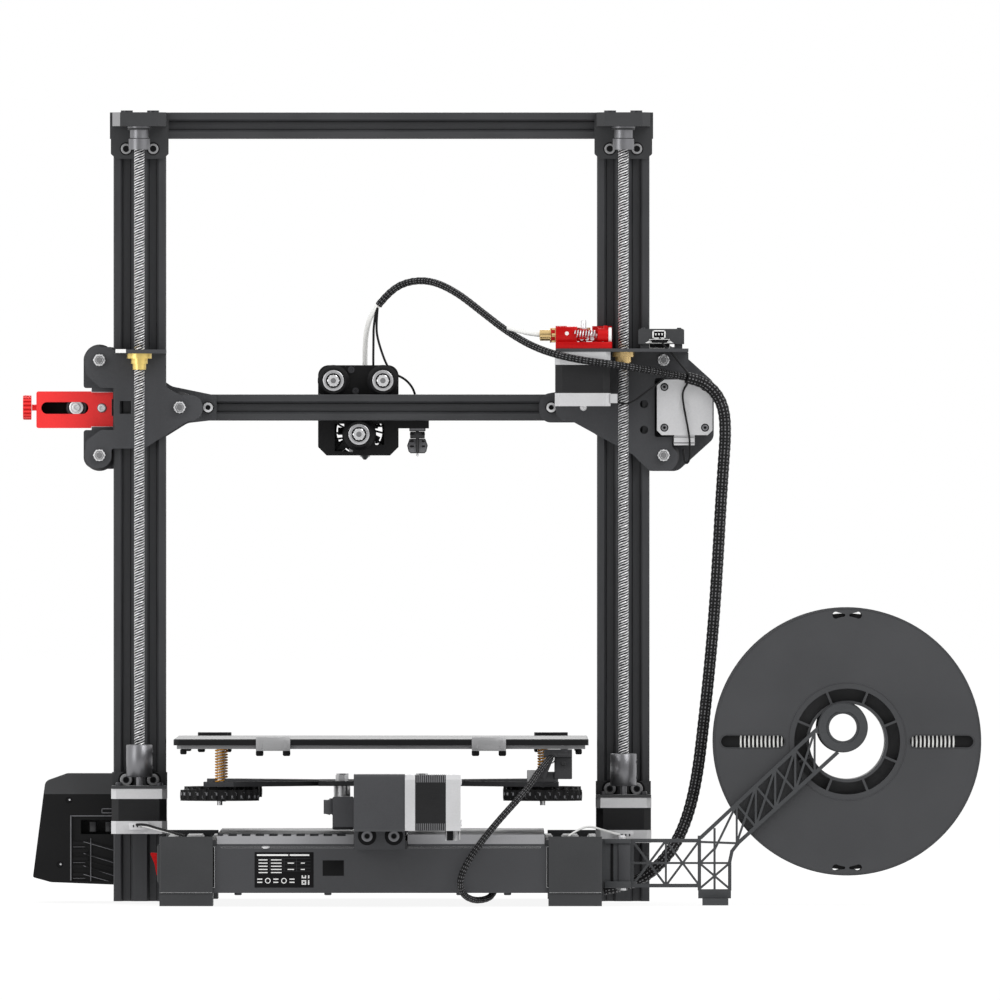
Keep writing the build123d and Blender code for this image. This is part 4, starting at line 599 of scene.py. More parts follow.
def sleeve(name, route, diameter, node):
    """Braided loom whose strands cross. It rides on no body; its mesh is baked into the frame."""
    def relief(step, turn):
        return (max(crossing(step, turn)) - 0.75) * diameter * 0.035 * MM
    line = even(line_of(name, route), SLEEVE_STEP)
    bm = bmesh.new()
    rows = put_tube(bm, line, diameter / 2, SLEEVE_SIDES, relief=relief)
    for step, (low, high) in enumerate(rows):
        for side, vert in enumerate(low):
            one, two = crossing(step, 2 * pi * side / SLEEVE_SIDES)
            # Where one set of strands rides high over the other, the faces take grey: a painted highlight on
            # the strand tops.
            if one * two < -0.55:
                for face in vert.link_faces:
                    if high[side] in face.verts and low[(side + 1) % SLEEVE_SIDES] in face.verts:
                        face.material_index = 1
    piece = keep(bm, name, None, SLEEVE, STRAND_HIGHLIGHT, sharp=60, slot="cable_sleeve", stands_for=node)
    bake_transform(piece)


def wire(name, route, diameter, body, material=WIRE, slot="black_plastic", stands_for=None):
    """Thin smooth lead, from the first point of its route to the last."""
    line = even(line_of(name, route), 0.8)
    bm = bmesh.new()
    put_tube(bm, line, diameter / 2, 12)
    piece = keep(bm, name, body, material, sharp=60, slot=slot, stands_for=stands_for)


sleeve("head_loom", LOOM_UPPER, 5.5, "loom_upper")
sleeve("base_loom", LOOM_LOWER, 9.0, "loom_lower")
sleeve("bed_loom", BED_CABLE, 5.0, "bed_cable")
wire("tube_to_nozzle", TUBE_FRONT, 4.0, "x_carriage", WHITE_TUBE, "white_tube", "bowden_tube")
wire("tube_to_extruder", TUBE_REAR, 4.0, "z_gantry", WHITE_TUBE, "white_tube", "bowden_tube")
wire("sensor_lead", [(-211.5, 51.5, 430.8), (-214.5, 56, 425), (-219.9, 54, 420.1), (-228, 46, 410),
                     (-234.4, 38, 402.6)], 1.6, "z_gantry")
wire("extruder_motor_lead", [(-175.7, 49, 383.6), (-182, 50, 380.5), (-190, 52, 380.8), (-206, 50, 392.7),
                             (-216.9, 46, 401)], 1.5, "z_gantry")
wire("x_motor_lead", [(-234.4, 30, 398.3), (-230, 26, 392), (-229.1, 24.5, 386), (-231, 24.5, 374.4),
                      (-234.4, 24.5, 356.9), (-235, 22.5, 346), (-234.8, 20.5, 338), (-232.4, 18.6, 334.5),
                      (-230.2, 17.4, 338), (-230, 17, 346)],
     1.6, "z_gantry")
wire("hotend_leads", [(3.5, -46, 455), (6.3, -46, 443), (6.4, -46, 428), (6.6, -47, 412), (6.4, -48, 397)],
     1.8, "x_carriage")
wire("probe_lead", [(3.2, -46, 454), (4.5, -46.5, 440), (3, -46, 429), (-3.5, -46, 410), (-9, -46, 404),
                    (-19.4, -47, 399), (-26, -50, 389), (-27.2, -52, 377.8)], 1.8, "x_carriage")
wire("right_lift_lead", [(186, 59.6, 60.4), (180, 66, 61), (172, 76, 58.5), (160, 90, 55.5),
                         (148, 104, 52.2)], 2.0, "frame")
wire("right_lift_lead_white", [(184, 59.6, 60.0), (178, 68, 59.0), (170, 78, 57.0), (158, 91, 54.0),
                               (147, 103, 51.6)], 1.2, "frame", WHITE_WIRE)
wire("left_lift_lead", [(-181, 59.6, 53.0), (-170, 70, 56), (-158, 84, 60), (-149, 94, 57),
                        (-142, 104, 52.2)], 1.6, "frame", WHITE_WIRE)

# ---------------------------------------------------------------- lead screws and couplers

LEAD, STARTS, THREAD_DEPTH, THREAD_R = 8, 4, 0.75, 4.0


def lead_screw(name, body, low, top, coupler):
    """Rolled four-start screw: a rod whose radius follows a trapezoid that winds up it, with its coupler."""
    x, y = SCREW_X[name], SCREW_Y
    bm = bmesh.new()
    sides, step = 24, 0.36
    count = round((top - low) / step)
    rings = []
    for k in range(count + 1):
        z = low + (top - low) * k / count
        ring = []
        for s in range(sides):
            turn = 2 * pi * s / sides
            phase = (z / LEAD - turn / (2 * pi)) * STARTS % 1.0
            depth = min(1, max(0, (abs(phase - 0.5) - 0.16) / 0.14))
            reach = THREAD_R - THREAD_DEPTH * depth
            ring.append((bm.verts.new(spot(x + reach * cos(turn), y + reach * sin(turn), z)), depth))
        rings.append(ring)
    for under, over in zip(rings, rings[1:]):
        for s in range(sides):
            n = (s + 1) % sides
            corners = [under[s], under[n], over[n], over[s]]
            face = bm.faces.new([c[0] for c in corners])
            # Faces deep in the thread's roots take near-black: painted shade in the grooves.
            face.material_index = 1 if sum(c[1] for c in corners) > 1.8 else 0
    bm.faces.new([v for v, _ in rings[-1]])
    bm.faces.new([v for v, _ in rings[0]][::-1])
    put_lathe(bm, [(0, -13), (2.5, -13), (2.5, 0.5)], (x, y, coupler), UP, 20, 2)
    put_lathe(bm, [(4.3, 0), (9.4, 0), (10, 0.6), (10, 24.1), (9.4, 24.7), (4.3, 24.7)], (x, y, coupler), UP,
              48, 2)
    for height in (6.2, 18.5):
        put_screw(bm, (x - 9.6, y, coupler + height), LEFT, 1.9, 0.9, 3)
        put_screw(bm, (x, y - 9.6, coupler + height), FRONT, 1.9, 0.9, 3)
    keep(bm, name + "_threaded", body, SCREW, GROOVE_SHADE, COUPLER, DARK_STEEL, sharp=50, slot="screw_steel",
         stands_for=body)


for name in SCREW_X:
    lead_screw(name, name.replace("screw", "lead_screw"), SCREW_LOW[name], SCREW_TOP, COUPLER_LOW[name])

# ---------------------------------------------------------------- bed

def level_spring(number, x, y):
    """Coil spring round a level screw, with closed ends."""
    turns, low, high, coil = 11.5, 93.5, 117.8, 3.2
    path = []
    for k in range(int(turns * 16) + 1):
        share = k / (turns * 16)
        squeeze = min(1, share * 14, (1 - share) * 14)
        turn = 2 * pi * turns * share
        z = low + (high - low) * (share + 0.012 * (1 - squeeze) * (1 if share > 0.5 else -1))
        path.append(spot(x + coil * cos(turn), y + coil * sin(turn), min(high, max(low, z))))
    bm = bmesh.new()
    put_tube(bm, path, 0.6, 8)
    keep(bm, f"level_spring_{number}", "bed", SPRING, sharp=60, slot="spring_steel",
         stands_for="bed_springs" if number == 1 else None)


def knob_grip(number, x, y):
    """Domed grips round a level knob's rim, black with painted highlights, and the collar on its hub."""
    grips, corners, reach, level = 24, 12, 29.2, 82.9
    wide, high, squareness = 2.3, 3.4, 0.6
    bm = bmesh.new()
    for k in range(grips):
        turn = 2 * pi * (k + 0.5) / grips
        out, side = Vector((cos(turn), sin(turn), 0)), Vector((-sin(turn), cos(turn), 0))
        centre = spot(x + reach * out.x, y + reach * out.y, level)
        foot, crown = [], []
        for s in range(corners):
            a = 2 * pi * s / corners
            u = math.copysign(wide * abs(cos(a)) ** squareness, cos(a))
            v = math.copysign(high * abs(sin(a)) ** squareness, sin(a))
            foot.append(bm.verts.new(centre + (side * u + Vector((0, 0, v))) * MM))
            crown.append(bm.verts.new(centre + (side * u * 0.62 + Vector((0, 0, v * 0.72)) + out) * MM))
        for s in range(corners):
            n = (s + 1) % corners
            # Three sides of every six, on two opposite quarters of the grip's edge, take the lighter grey: a
            # painted highlight.
            shade = 1 if s % 6 < 3 else 0
            bm.faces.new([foot[s], foot[n], crown[n], crown[s]]).material_index = shade
        bm.faces.new(crown)
    put_lathe(bm, [(2.4, 10.2), (4.4, 10.2), (4.4, 9.7), (7.6, 9.7), (7.6, 8.4)], (x, y, 78.8), UP, 24)
    keep(bm, f"knob_grip_{number}", f"level_knob_{number}", DEEP, SMOKY_AND_HIGHLIGHT, sharp=40, slot="black_plastic")


for number, (x, y) in enumerate(LEVEL_POINTS, 1):
    level_spring(number, x, y)
    knob_grip(number, x, y)

bm = bmesh.new()
for side in SIDES:
    for y, z in ((90, 118.4), (-213.5, 118)):
        put_lathe(bm, [(0, 0), (1.6, 0), (2.5, 0.7), (2.5, 3.4), (1.9, 4.2), (1.2, 4.2), (1, 3), (0, 3)],
                  (side * 150, y, z), DOWN, 20)
keep(bm, "plate_screws", "bed", BLACK_PRINT_AND_SHADE, slot="bright_steel")

bm = bmesh.new()
for edge, out, spread, top, shade in ((97.5, 1, 81.9, 127.2, 0), (-217.5, -1, 129.6, 128.4, 1)):
    for side in SIDES:
        x = side * spread
        for foot in (-10.2, 10.2):
            put_lathe(bm, [(0, 0), (1.8, 0), (2.9, 0.8), (2.9, 3.4), (2.2, 4.4), (0, 4.4)],
                      (x + foot, edge - out * 3.6, 117.4), DOWN, 20, 2)
        lip = [(-8, GLASS_TOP), (0.2, GLASS_TOP), (0.2, 117.6), (-8, 117.6), (-8, 116.9), (1, 116.9),
               (1.6, 118.4), (1.6, 125), (0.4, top), (-7.4, top - 0.3)]
        put_prism(bm, [(edge + out * reach, z) for reach, z in lip], "YZ", x - 13, x + 13, 0.25, shade)
        for low, high in ((-10.6, -8.2), (8.2, 10.6)):
            put_box(bm, (x + low, x + high), (edge + out * 1.2, edge + out * 1.9), (118.6, 125.2), 0.2, shade)
keep(bm, "glass_clips", "bed", CLIP_AND_HIGHLIGHT, DEEP, BLACK_PRINT_AND_SHADE, slot="bright_steel", stands_for="bed_clips")

bm = bmesh.new()
put_box(bm, (-145, -123.5), (83.5, 98), (112.2, 118), 0.5)
put_box(bm, (-145, -131.5), (84, 96), (95.5, 113), 0.6)
put_box(bm, (-131.8, -118), (85, 93.5), (93.2, 101), 0.5)
put_prism(bm, [(-131.5, 112.6), (-128, 112.6), (-121, 97), (-124.5, 95.5)], "XZ", 95.2, 98.6, 0.3)
put_box(bm, (-141.5, -134), (95.6, 98.8), (113.2, 116.8), 0.4)
put_lathe(bm, [(3, 0), (3.9, 0), (3.5, 7), (2.9, 7)], (-128.7, 92.4, 111), REAR, 20)
put_screw(bm, (-138.4, 95.9, 107.5), REAR, 1.9, 1.6)
put_box(bm, (-120, -110.8), (88, 92), (93.2, 102.2), 0.3, 1)
keep(bm, "bed_cable_clamp", "bed", GLOSSY, CLIP_AND_HIGHLIGHT, slot="black_plastic", stands_for="cable_relief")

# ---------------------------------------------------------------- motors

bm = bmesh.new()
x, y, z = X_MOTOR
for dx in (-MOTOR_BOLT, MOTOR_BOLT):
    for dz in (-MOTOR_BOLT, MOTOR_BOLT):
        # Black ring round each bolt head and black in its socket: painted shade.
        put_turned(bm, (x + dx, y, z + dz), REAR, 24,
                   (2, [(3.1, 0.04), (2.3, 0.06)]),
                   (1, [(2.3, 0.06), (2.2, 0.6), (1.9, 0.7), (1.1, 0.7)]),
                   (2, [(1.1, 0.7), (1, 0.2), (0, 0.2)]))
put_lathe(bm, [(5.2, 0), (5, 0.25), (3.6, 0.25), (3.4, 0.1), (2, 0.1), (1.8, 0.25), (0, 0.25)], X_MOTOR, REAR,
          40)
for low, high in ((350.4, 351.2), (354.9, 355.5)):
    put_box(bm, (-238.9, -222.5), (19.4, 20.2), (low, high), 0.1, 2)
for side in SIDES:
    put_prism(bm, [(x + side * 7.8, 357.2), (x + side * 9.2, 357.2), (x + side * 8.4, 355.2)], "XZ", 18, 20.1,
              0, 2)
keep(bm, "motor_end_details", "z_gantry", BELL, COUPLER, BLACK_PRINT_AND_SHADE, slot="motor_case")

bm = bmesh.new()
for x, drop in ((UPRIGHT_X, 0), (-UPRIGHT_X, LEFT_DROP)):
    rear = SCREW_Y + 21.15
    for side in SIDES:
        for bolt in SIDES:
            put_lathe(bm, [(0, 0), (2.4, 0), (2.4, 2), (2, 2.4), (0, 2.4)],
                      (x + side * MOTOR_BOLT, SCREW_Y + bolt * MOTOR_BOLT, 89.9 - drop), UP, 20, 2)
        # Black ring round each screw head and black in its socket: painted shade.
        put_turned(bm, (x + side * 10.3, 13, 94.1 - drop), REAR, 32,
                   (4, [(6.1, 0), (6, 0.3), (4.6, 0.4)]),
                   (6, [(4.6, 0.4), (4.6, 4.7), (4.1, 5.1), (2.6, 5.1)]),
                   (4, [(2.6, 5.1), (2.4, 4.2), (0, 4.2)]))
    put_lathe(bm, [(11.2, 0), (11, 0.3), (3, 0.5)], (x, SCREW_Y, 89.6 - drop), UP, 40)
    put_box(bm, (x - 7.4, x + 7.4), (rear + 4.4, rear + 5.2), (56.6 - drop, 62.0 - drop), 0.2, 3)
    for pin in range(4):
        left = x - 5.2 + 2.9 * pin
        put_box(bm, (left, left + 1.2), (rear + 5.1, rear + 5.4), (58.4 - drop, 60.4 - drop), 0.1, 4)
    for step in range(21):
        z = 64.1 - drop + 0.76 * step
        put_box(bm, (x - 15.6, x + 15.6), (rear - 0.4, rear + 0.02), (z, z + 0.42), 0, 5)
keep(bm, "lift_motor_details", "frame", BELL, STEEL, DARK_STEEL, BELL, BLACK_PRINT_AND_SHADE, LAMINATED, CLIP_AND_HIGHLIGHT,
     slot="motor_case")

bm = bmesh.new()
for step in range(14):
    x = -48.8 + 1.6 * step
    put_box(bm, (x, x + 0.5), (222.7, 223.1), (63.4, 94.4), 0)
    put_box(bm, (x, x + 0.5), (186.5, 217.5), (99.7, 100), 0)
    put_prism(bm, [(222.6, 94.2), (223.1, 94.2), (217.8, 99.9), (217.2, 99.6)], "YZ", x, x + 0.55, 0, 4)
    put_prism(bm, [(222.6, 63.6), (223.1, 63.6), (217.8, 57.9), (217.2, 58.2)], "YZ", x, x + 0.55, 0, 4)
for z in (63.4, 94.4):
    for y in (186.5, 217.5):
        put_screw(bm, (-60.5, y, z), LEFT, 2.4, 0.9, 1)
put_box(bm, (-55, -50.2), (208, 214.5), (50.4, 58.4), 0.3, 3)
for pin in range(3):
    put_box(bm, (-60.4 + 2.2 * pin, -59.6 + 2.2 * pin), (210, 211), (50.6, 58.2), 0.2, 2)
keep(bm, "bed_motor_details", "frame", LAMINATED, STEEL, WHITE_AND_GLINT, BLACK_PRINT_AND_SHADE, SMOKY_AND_HIGHLIGHT, slot="motor_case")

# ---------------------------------------------------------------- gantry: plates, extruder, sensor, tensioner

bm = bmesh.new()
# Nut faces in darkened steel are painted shade, bright chamfers painted highlight, black sockets painted
# shade.
for x, z in PLATE_NUTS:
    put_nut(bm, (x, 15, z), REAR, 4.8, 4.2)
for x in (132.4, -129.4):
    put_lathe(bm, [(4.5, 0), (4.5, 7.2), (3.7, 7.8)], (x, -15, BEAM_Z), REAR, 28, 2)
    put_lathe(bm, [(3.7, 7.8), (2, 7.9)], (x, -15, BEAM_Z), REAR, 28, 1)
    put_lathe(bm, [(2, 7.9), (1.9, 7), (0, 7)], (x, -15, BEAM_Z), REAR, 6, 2)
keep(bm, "plate_nuts", "z_gantry", NUT_FACE_SHADE, STEEL, BLACK_PRINT_AND_SHADE, slot="bright_steel")

bm = bmesh.new()
put_box(bm, (198, 206), (-12.3, -11.7), (371.4, 384.4), 0.5, 1)
for x, z in ((-200.1, 377.5), (-200.3, 358)):
    put_lathe(bm, [(2.9, 0), (2.7, 0.25), (2.3, 0.25), (2.1, -0.6), (0, -0.6)], (x, -12, z), REAR, 24, 1)
put_box(bm, (194.1, 202.4), (45.6, 46.3), (419, 422.2), 0.2, 2)
put_box(bm, (181.6, 186.6), (30, 36.6), (422.4, 426.6), 0.5, 1)
keep(bm, "plate_marks", "z_gantry", COATED, BLACK_PRINT_AND_SHADE, WHITE_AND_GLINT, slot="black_steel")

bm = bmesh.new()
put_lathe(bm, [(0, 0), (5.4, 0), (5.4, 1.2), (4.9, 1.5), (4.2, 1.5), (4.2, 0.9), (3.2, 0.9), (3.2, 2.6),
               (2.6, 3), (1.7, 3), (1.5, 1.6), (0, 1.6)], (X_IDLER, -16.8, BEAM_Z), REAR, 32, 0)
put_lathe(bm, [(6.2, 0), (6.2, 1), (7.4, 1), (7.4, 0), (6.2, 0)], (X_IDLER, -19.2, BEAM_Z), REAR, 32, 1)
put_lathe(bm, [(0, 0), (3.2, 0), (3.2, 0.9), (2.6, 1.4), (1.5, 1.4), (1.3, 0.5), (0, 0.5)],
          (213.5, -15.2, 377.5), REAR, 24, 0)
put_lathe(bm, [(3.6, 0), (3.6, 0.12), (0, 0.12)], (213.5, -15.2, 377.5), REAR, 24, 1)
# A flat black sheet at the tensioner: a painted shadow round its red body.
put_prism(bm, [(204.8, 366.8), (262, 366.8), (262, 386.2), (204.8, 386.2)], "XZ", -30.9, -30.2, 0.2, 2)
for low, high in ((389.4, 393.2), (360.4, 363.4)):
    put_box(bm, (203.4, 221.6), (-14.8, -12.1), (low, high), 0.3, 3)
keep(bm, "tensioner_details", "z_gantry", STEEL, DARK_STEEL, BLACK_PRINT_AND_SHADE, COATED, slot="bright_steel")

bm = bmesh.new()
ridges, knob_y, knob_r = 18, -25, 8.6
for k in range(ridges):
    turn = 2 * pi * (k + 0.5) / ridges
    y, z = knob_y + knob_r * cos(turn), BEAM_Z + knob_r * sin(turn)
    put_tube(bm, [spot(x, y, z) for x in (267.5, 268.2, 272.6, 273.4)], 0.75, 8)
put_lathe(bm, [(2.6, 0), (3.4, 0.3), (5.6, 0.4), (6, 0), (6, -0.8)], (273.2, knob_y, BEAM_Z), RIGHT)
keep(bm, "tensioner_grip", "x_tensioner_knob", RED, sharp=40, slot="red_metal")

bm = bmesh.new()
put_box(bm, (-174.5, -146.5), (46.2, 50.4), (428, 436.6), 0.5)
put_lathe(bm, [(0, 0), (5.2, 0), (5.6, 0.4), (5.6, 8.5), (0, 8.5)], (-173.1, 51.2, 432.4), RIGHT, 40)
put_lathe(bm, [(0, 0), (5.7, 0), (6.1, 0.4), (6.1, 2), (5.7, 2.4), (0, 2.4)], (-175.2, 51.2, 432.4), RIGHT,
          40, 1)
turns, per_turn, coil = 8, 14, 2.5
path = []
for k in range(turns * per_turn + 1):
    turn = 2 * pi * k / per_turn
    path.append(spot(-147.2 - 2.1 * k / per_turn, 52.6 + coil * cos(turn), 433.6 + coil * sin(turn)))
put_tube(bm, path, 0.5, 8, material=2)
put_lathe(bm, [(0, 0), (4, 0), (4.4, 0.4), (4.4, 7.2), (4, 7.6), (0, 7.6)], (-153.2, 48.8, 429.5), UP, 28)
for x in (-152.5, -156.5, -160.5):
    put_lathe(bm, [(0, 0), (1.5, 0), (1.5, 1.6), (0.6, 1.6), (0, 1)], (x, 50.4, 430), REAR, 16, 2)
keep(bm, "lever_arm", "extruder_lever", RED, WHITE_AND_GLINT, STEEL, sharp=40, slot="red_metal",
     stands_for="extruder_lever")

bm = bmesh.new()
put_box(bm, (-149.2, -132.8), (30, 51.5), (427.4, 439.2), 0.6)
put_lathe(bm, [(1, 0), (1.5, 0), (1.5, 0.2), (0, 0.2)], (-141.2, 51.45, 434), REAR, 20, 3)
put_hex(bm, FITTING, RIGHT, 6.2, 3.6, 1)
put_lathe(bm, [(5.9, 3.6), (5.9, 4.3), (4.3, 4.4), (4.3, 11.7), (3.4, 12.2), (2.1, 12.3)], FITTING, RIGHT,
          28, 1)
put_lathe(bm, [(0, 0), (2.05, 0), (2.05, 15.6), (1.6, 16.4), (0, 16.4)], (-153.8, 44.2, 427.6), UP, 20, 2)
put_lathe(bm, [(0, 0), (3.2, 0), (3.2, 2.2), (0, 2.2)], (-153.8, 44.2, 436.2), UP, 20, 2)
put_lathe(bm, [(5.7, 0), (5.9, 0.3), (5.9, 9.7), (2.7, 9.8)], (EXTRUDER_X, EXTRUDER_Y, 428.8), UP, 24, 1)
for x, y in ((-168.7, 20.8), (-137.7, 20.8), (-168.7, 51.8)):
    put_screw(bm, (x, y, 427.7), UP, 2.6, 1.6, 2)
put_box(bm, (-174.8, -133.8), (56.6, 57.3), (422.8, 427.3), 0.2)
keep(bm, "extruder_details", "z_gantry", RED, BRASS, STEEL, WHITE_AND_GLINT, slot="red_metal")

bm = bmesh.new()
left, right, low, high, back = -216.2, -206.2, 429.9, 436.4, 52.4
for x, z in (((left, right), (high - 0.9, high)), ((left, right), (low, low + 0.9)),
             ((left, left + 1), (low, high)), ((right - 1, right), (low, high))):
    put_box(bm, x, (50, back), z, 0.1)
put_box(bm, (left, right), (49.4, 50.2), (low, high), 0, 1)
for pin in range(3):
    x = left + 2.6 + 2.4 * pin
    put_prism(bm, [(x - 0.8, 434), (x + 0.8, 434), (x, 432.2)], "XZ", 50, 51.8)
put_prism(bm, [(-219.5, 429.6), (-203.6, 429.6), (-206, 426.4), (-217.2, 426.4)], "XZ", 50.2, 54.6, 0.3, 1)
# Small white triangles at both ends of the tab under the socket: painted glints.
for top, low, high in ((-203.8, -206.4, -200.6), (-219.4, -222.4, -216.8)):
    put_prism(bm, [(top, 428.6), (low, 426.6), (high, 426.6)], "XZ", 52.05, 52.5)
for x in (-199, -226.6):
    put_screw(bm, (x, 42, 437.5), UP, 1.8, 0.9, 2)
put_box(bm, (-219.5, -203.8), (36, 49.4), (422.6, 426.5), 0.4, 1)
keep(bm, "sensor_socket", "z_gantry", WHITE_AND_GLINT, BLACK_PRINT_AND_SHADE, DARK_STEEL, slot="black_plastic")

# ---------------------------------------------------------------- print head

for number, (x, z) in enumerate(HEAD_WHEELS, 1):
    disc = [(4.2, 0.05), (4.2, 0.3), (5, 0.3), (5.1, 0.15), (6.3, 0.15), (6.4, 0.3), (7.6, 0.3), (8.05, 0.05),
            (8.05, -0.5)]
    bm = bmesh.new()
    put_lathe(bm, disc, (x, -30.1, z), FRONT, 40)
    put_turned(bm, (x, -19.9, z), REAR, 40, (0, disc), (1, [(4.2, 0.34), (5.7, 0.34), (5.7, 0.2)]),
               (1, [(8, 0.1), (8.6, 0.12), (8.6, -0.3)]))
    keep(bm, f"wheel_bearing_{number}", f"x_wheel_{number}", BEARING_AND_GLINT, BLACK_PRINT_AND_SHADE, slot="bright_steel")

bm = bmesh.new()
# Nut faces in darkened steel are painted shade, bright chamfers painted highlight, black rings painted shade.
for x, z in HEAD_WHEELS:
    put_nut(bm, (x, -19.5, z), REAR, 4.8, 3.2, metal=2, bright=3, dark=4)
for x, z in ((23.4, 406.8), (20, 390.6)):
    put_lathe(bm, [(2.6, 0), (2.6, 0.9), (1.5, 0.9), (1.3, 0.1), (0, 0.1)], (x, -38, z), REAR, 20, 1)
keep(bm, "head_nuts", "x_carriage", BEARING_AND_GLINT, DARK_STEEL, NUT_FACE_SHADE, STEEL, BLACK_PRINT_AND_SHADE, slot="bright_steel")

bm = bmesh.new()
put_prism(bm, [(26.5, 362.5), (29, 362.5), (30.2, 352), (38.5, 343.6), (33.2, 341.8), (26.8, 347.5)], "XZ",
          -52, -44, 0.6)
put_box(bm, (38.6, 42), (-50, -43.2), (347.5, 359.5), 0.8, 1)
put_box(bm, (-9.4, -4.6), (-48, -42), (347, 356.5), 0.8)
put_lathe(bm, [(0, 0), (3.6, 0), (3.6, 1.6), (2.6, 2.2), (2, 1.4), (0, 1.4)], (-6.5, -41.2, 353.5), REAR, 24)
# Slanted strips of bearing steel on the shroud's cut lower corners: painted glints.
put_prism(bm, [(42.6, 341.9), (47.7, 347), (46.6, 347.6), (41.6, 342.6)], "XZ", -46, -41, 0.2, 2)
put_prism(bm, [(-6.9, 341.9), (-11.9, 347), (-10.8, 347.6), (-5.9, 342.6)], "XZ", -46, -41, 0.2, 2)
put_lathe(bm, [(0, 0), (1, 0), (3.4, 3.2), (3.4, 5.6), (6, 7), (6, 9), (0, 9)], (13, -52.4, 338.1), UP,
          28, 1)
for turn in (8, 24, 40, 56, 124, 140, 156, 172, 196, 212, 328, 344):
    root, tip = radians(turn), radians(turn + 14)
    near_x, near_z = 17.3 + 9.0 * cos(root), 360 + 9.0 * sin(root)
    far_x, far_z = 17.3 + 21.5 * cos(tip), 360 + 21.5 * sin(tip)
    put_tube(bm, [spot(near_x, -43, near_z), spot((near_x + far_x) / 2 + 0.8, -43, (near_z + far_z) / 2),
                  spot(far_x, -43, far_z)], 0.75, 8, material=3)
keep(bm, "head_details", "x_carriage", DEEP, PLASTIC, BEARING_AND_GLINT, BLACK_PRINT_AND_SHADE, slot="printed_plastic")

bm = bmesh.new()
put_box(bm, (-33.6, -20.8), (-59.4, -44.6), (370.6, 376.8), 0.6)
put_box(bm, (-32.6, -21.8), (-58.6, -45.2), (365.4, 370.4), 0.5, 1)
put_box(bm, (-33.4, -21), (-59.2, -44.8), (359.8, 365.2), 0.6, 2)
put_box(bm, (-32.8, -21.6), (-58.2, -45.6), (354.4, 359.6), 0.5, 1)
put_prism(bm, [(-33.2, 354.2), (-21.2, 354.2), (-19.3, 349), (-20.4, 344.4), (-22, 343), (-32.6, 343),
               (-34, 344.4), (-35.1, 349)], "XZ", -56.5, -47.5, 0.6, 2)
put_box(bm, (-28.4, -26), (-47.8, -45.8), (343.4, 362), 0.4, 1)
for z in (347.5, 351.5, 357, 362.5, 368):
    for x in ((-33, -30.4), (-24.4, -21.4)):
        put_box(bm, x, (-46.2, -44.4), (z, z + 1.5), 0.3)
keep(bm, "probe_housing", "x_carriage", DEEP, PLASTIC, SMOKY_AND_HIGHLIGHT, slot="black_plastic", stands_for="probe_body")

# ---------------------------------------------------------------- top holders

bm = bmesh.new()
for side in SIDES:
    for offset in (-10.3, 10.3):
        # Black ring round each screw head and black in its socket: painted shade.
        put_turned(bm, (side * UPRIGHT_X + offset, 14, 574.9), REAR, 28,
                   (3, [(5, 0.05), (4, 0.3)]),
                   (1, [(4, 0.3), (4, 2.9), (3.5, 3.35), (2.5, 3.35)]),
                   (3, [(2.5, 3.35), (2.4, 3.1), (0, 3.1)]))
    put_lathe(bm, [(4.4, 0), (8.2, 0), (8.2, 8.2), (7.2, 8.8), (7.2, 15.2), (9, 16.6), (9, 17.6)],
              (side * UPRIGHT_X, SCREW_Y, 574), UP, 48, 4)
keep(bm, "holder_details", "frame", STEEL, CLIP_AND_HIGHLIGHT, DARK_STEEL, BLACK_PRINT_AND_SHADE, COUPLER, slot="bright_steel")

# ---------------------------------------------------------------- base

bm = bmesh.new()
put_box(bm, (50.8, 95.4), (REAR_WALL, REAR_WALL + 0.25), (14, 40.8), 0.1)
put_box(bm, (27.9, 43.9), (REAR_WALL, REAR_WALL + 0.3), (22.9, 34.6), 0.12)
face = REAR_WALL + 0.22
print_y, rule_y = (face, face + 0.1), (face, face + 0.06)
for low, high in ((70, 93.6), (54, 68.8)):
    put_box(bm, (low, high), print_y, (38, 39.2), 0, 1)
for row, z in enumerate((34.6, 32.2, 29.8, 27.4, 25)):
    cells = ((85.6, 92.4), (75, 83)) if row % 2 == 0 else (
        (85.6, 92.4), (75, 83), (65.6, 70.4), (57.4, 60.4))
    for low, high in cells:
        put_box(bm, (low, high), print_y, (z, z + 0.7), 0, 1)
for z in (35.9, 33.5, 31.1, 28.7, 26.4):
    put_box(bm, (53, 93.6), rule_y, (z, z + 0.16), 0, 2)
for x in (84, 73, 63.6):
    put_box(bm, (x, x + 0.16), rule_y, (26.4, 35.9), 0, 2)
for x in (85.4, 73.2):
    put_lathe(bm, [(1.5, 0), (1.5, 0.1), (2.1, 0.1), (2.1, 0)], (x, face, 19.2), REAR, 24, 1)
for x in (91.5, 79.3, 67.1):
    for low, high in ((17.6, 18.4), (20, 20.8)):
        put_box(bm, (x - 1.9, x + 1.9), print_y, (low, high), 0, 1)
for i in range(6):
    for j in range(6):
        if (i * 5 + j * 3 + i * j) % 4 != 1:
            x, z = 54.0 + 1.2 * i, 16.2 + 1.2 * j
            put_box(bm, (x, x + 1), print_y, (z, z + 1), 0, 1)
keep(bm, "label_and_port_cover", "frame", BLACK_PRINT_AND_SHADE, WHITE_AND_GLINT, COATED, slot="black_plastic")

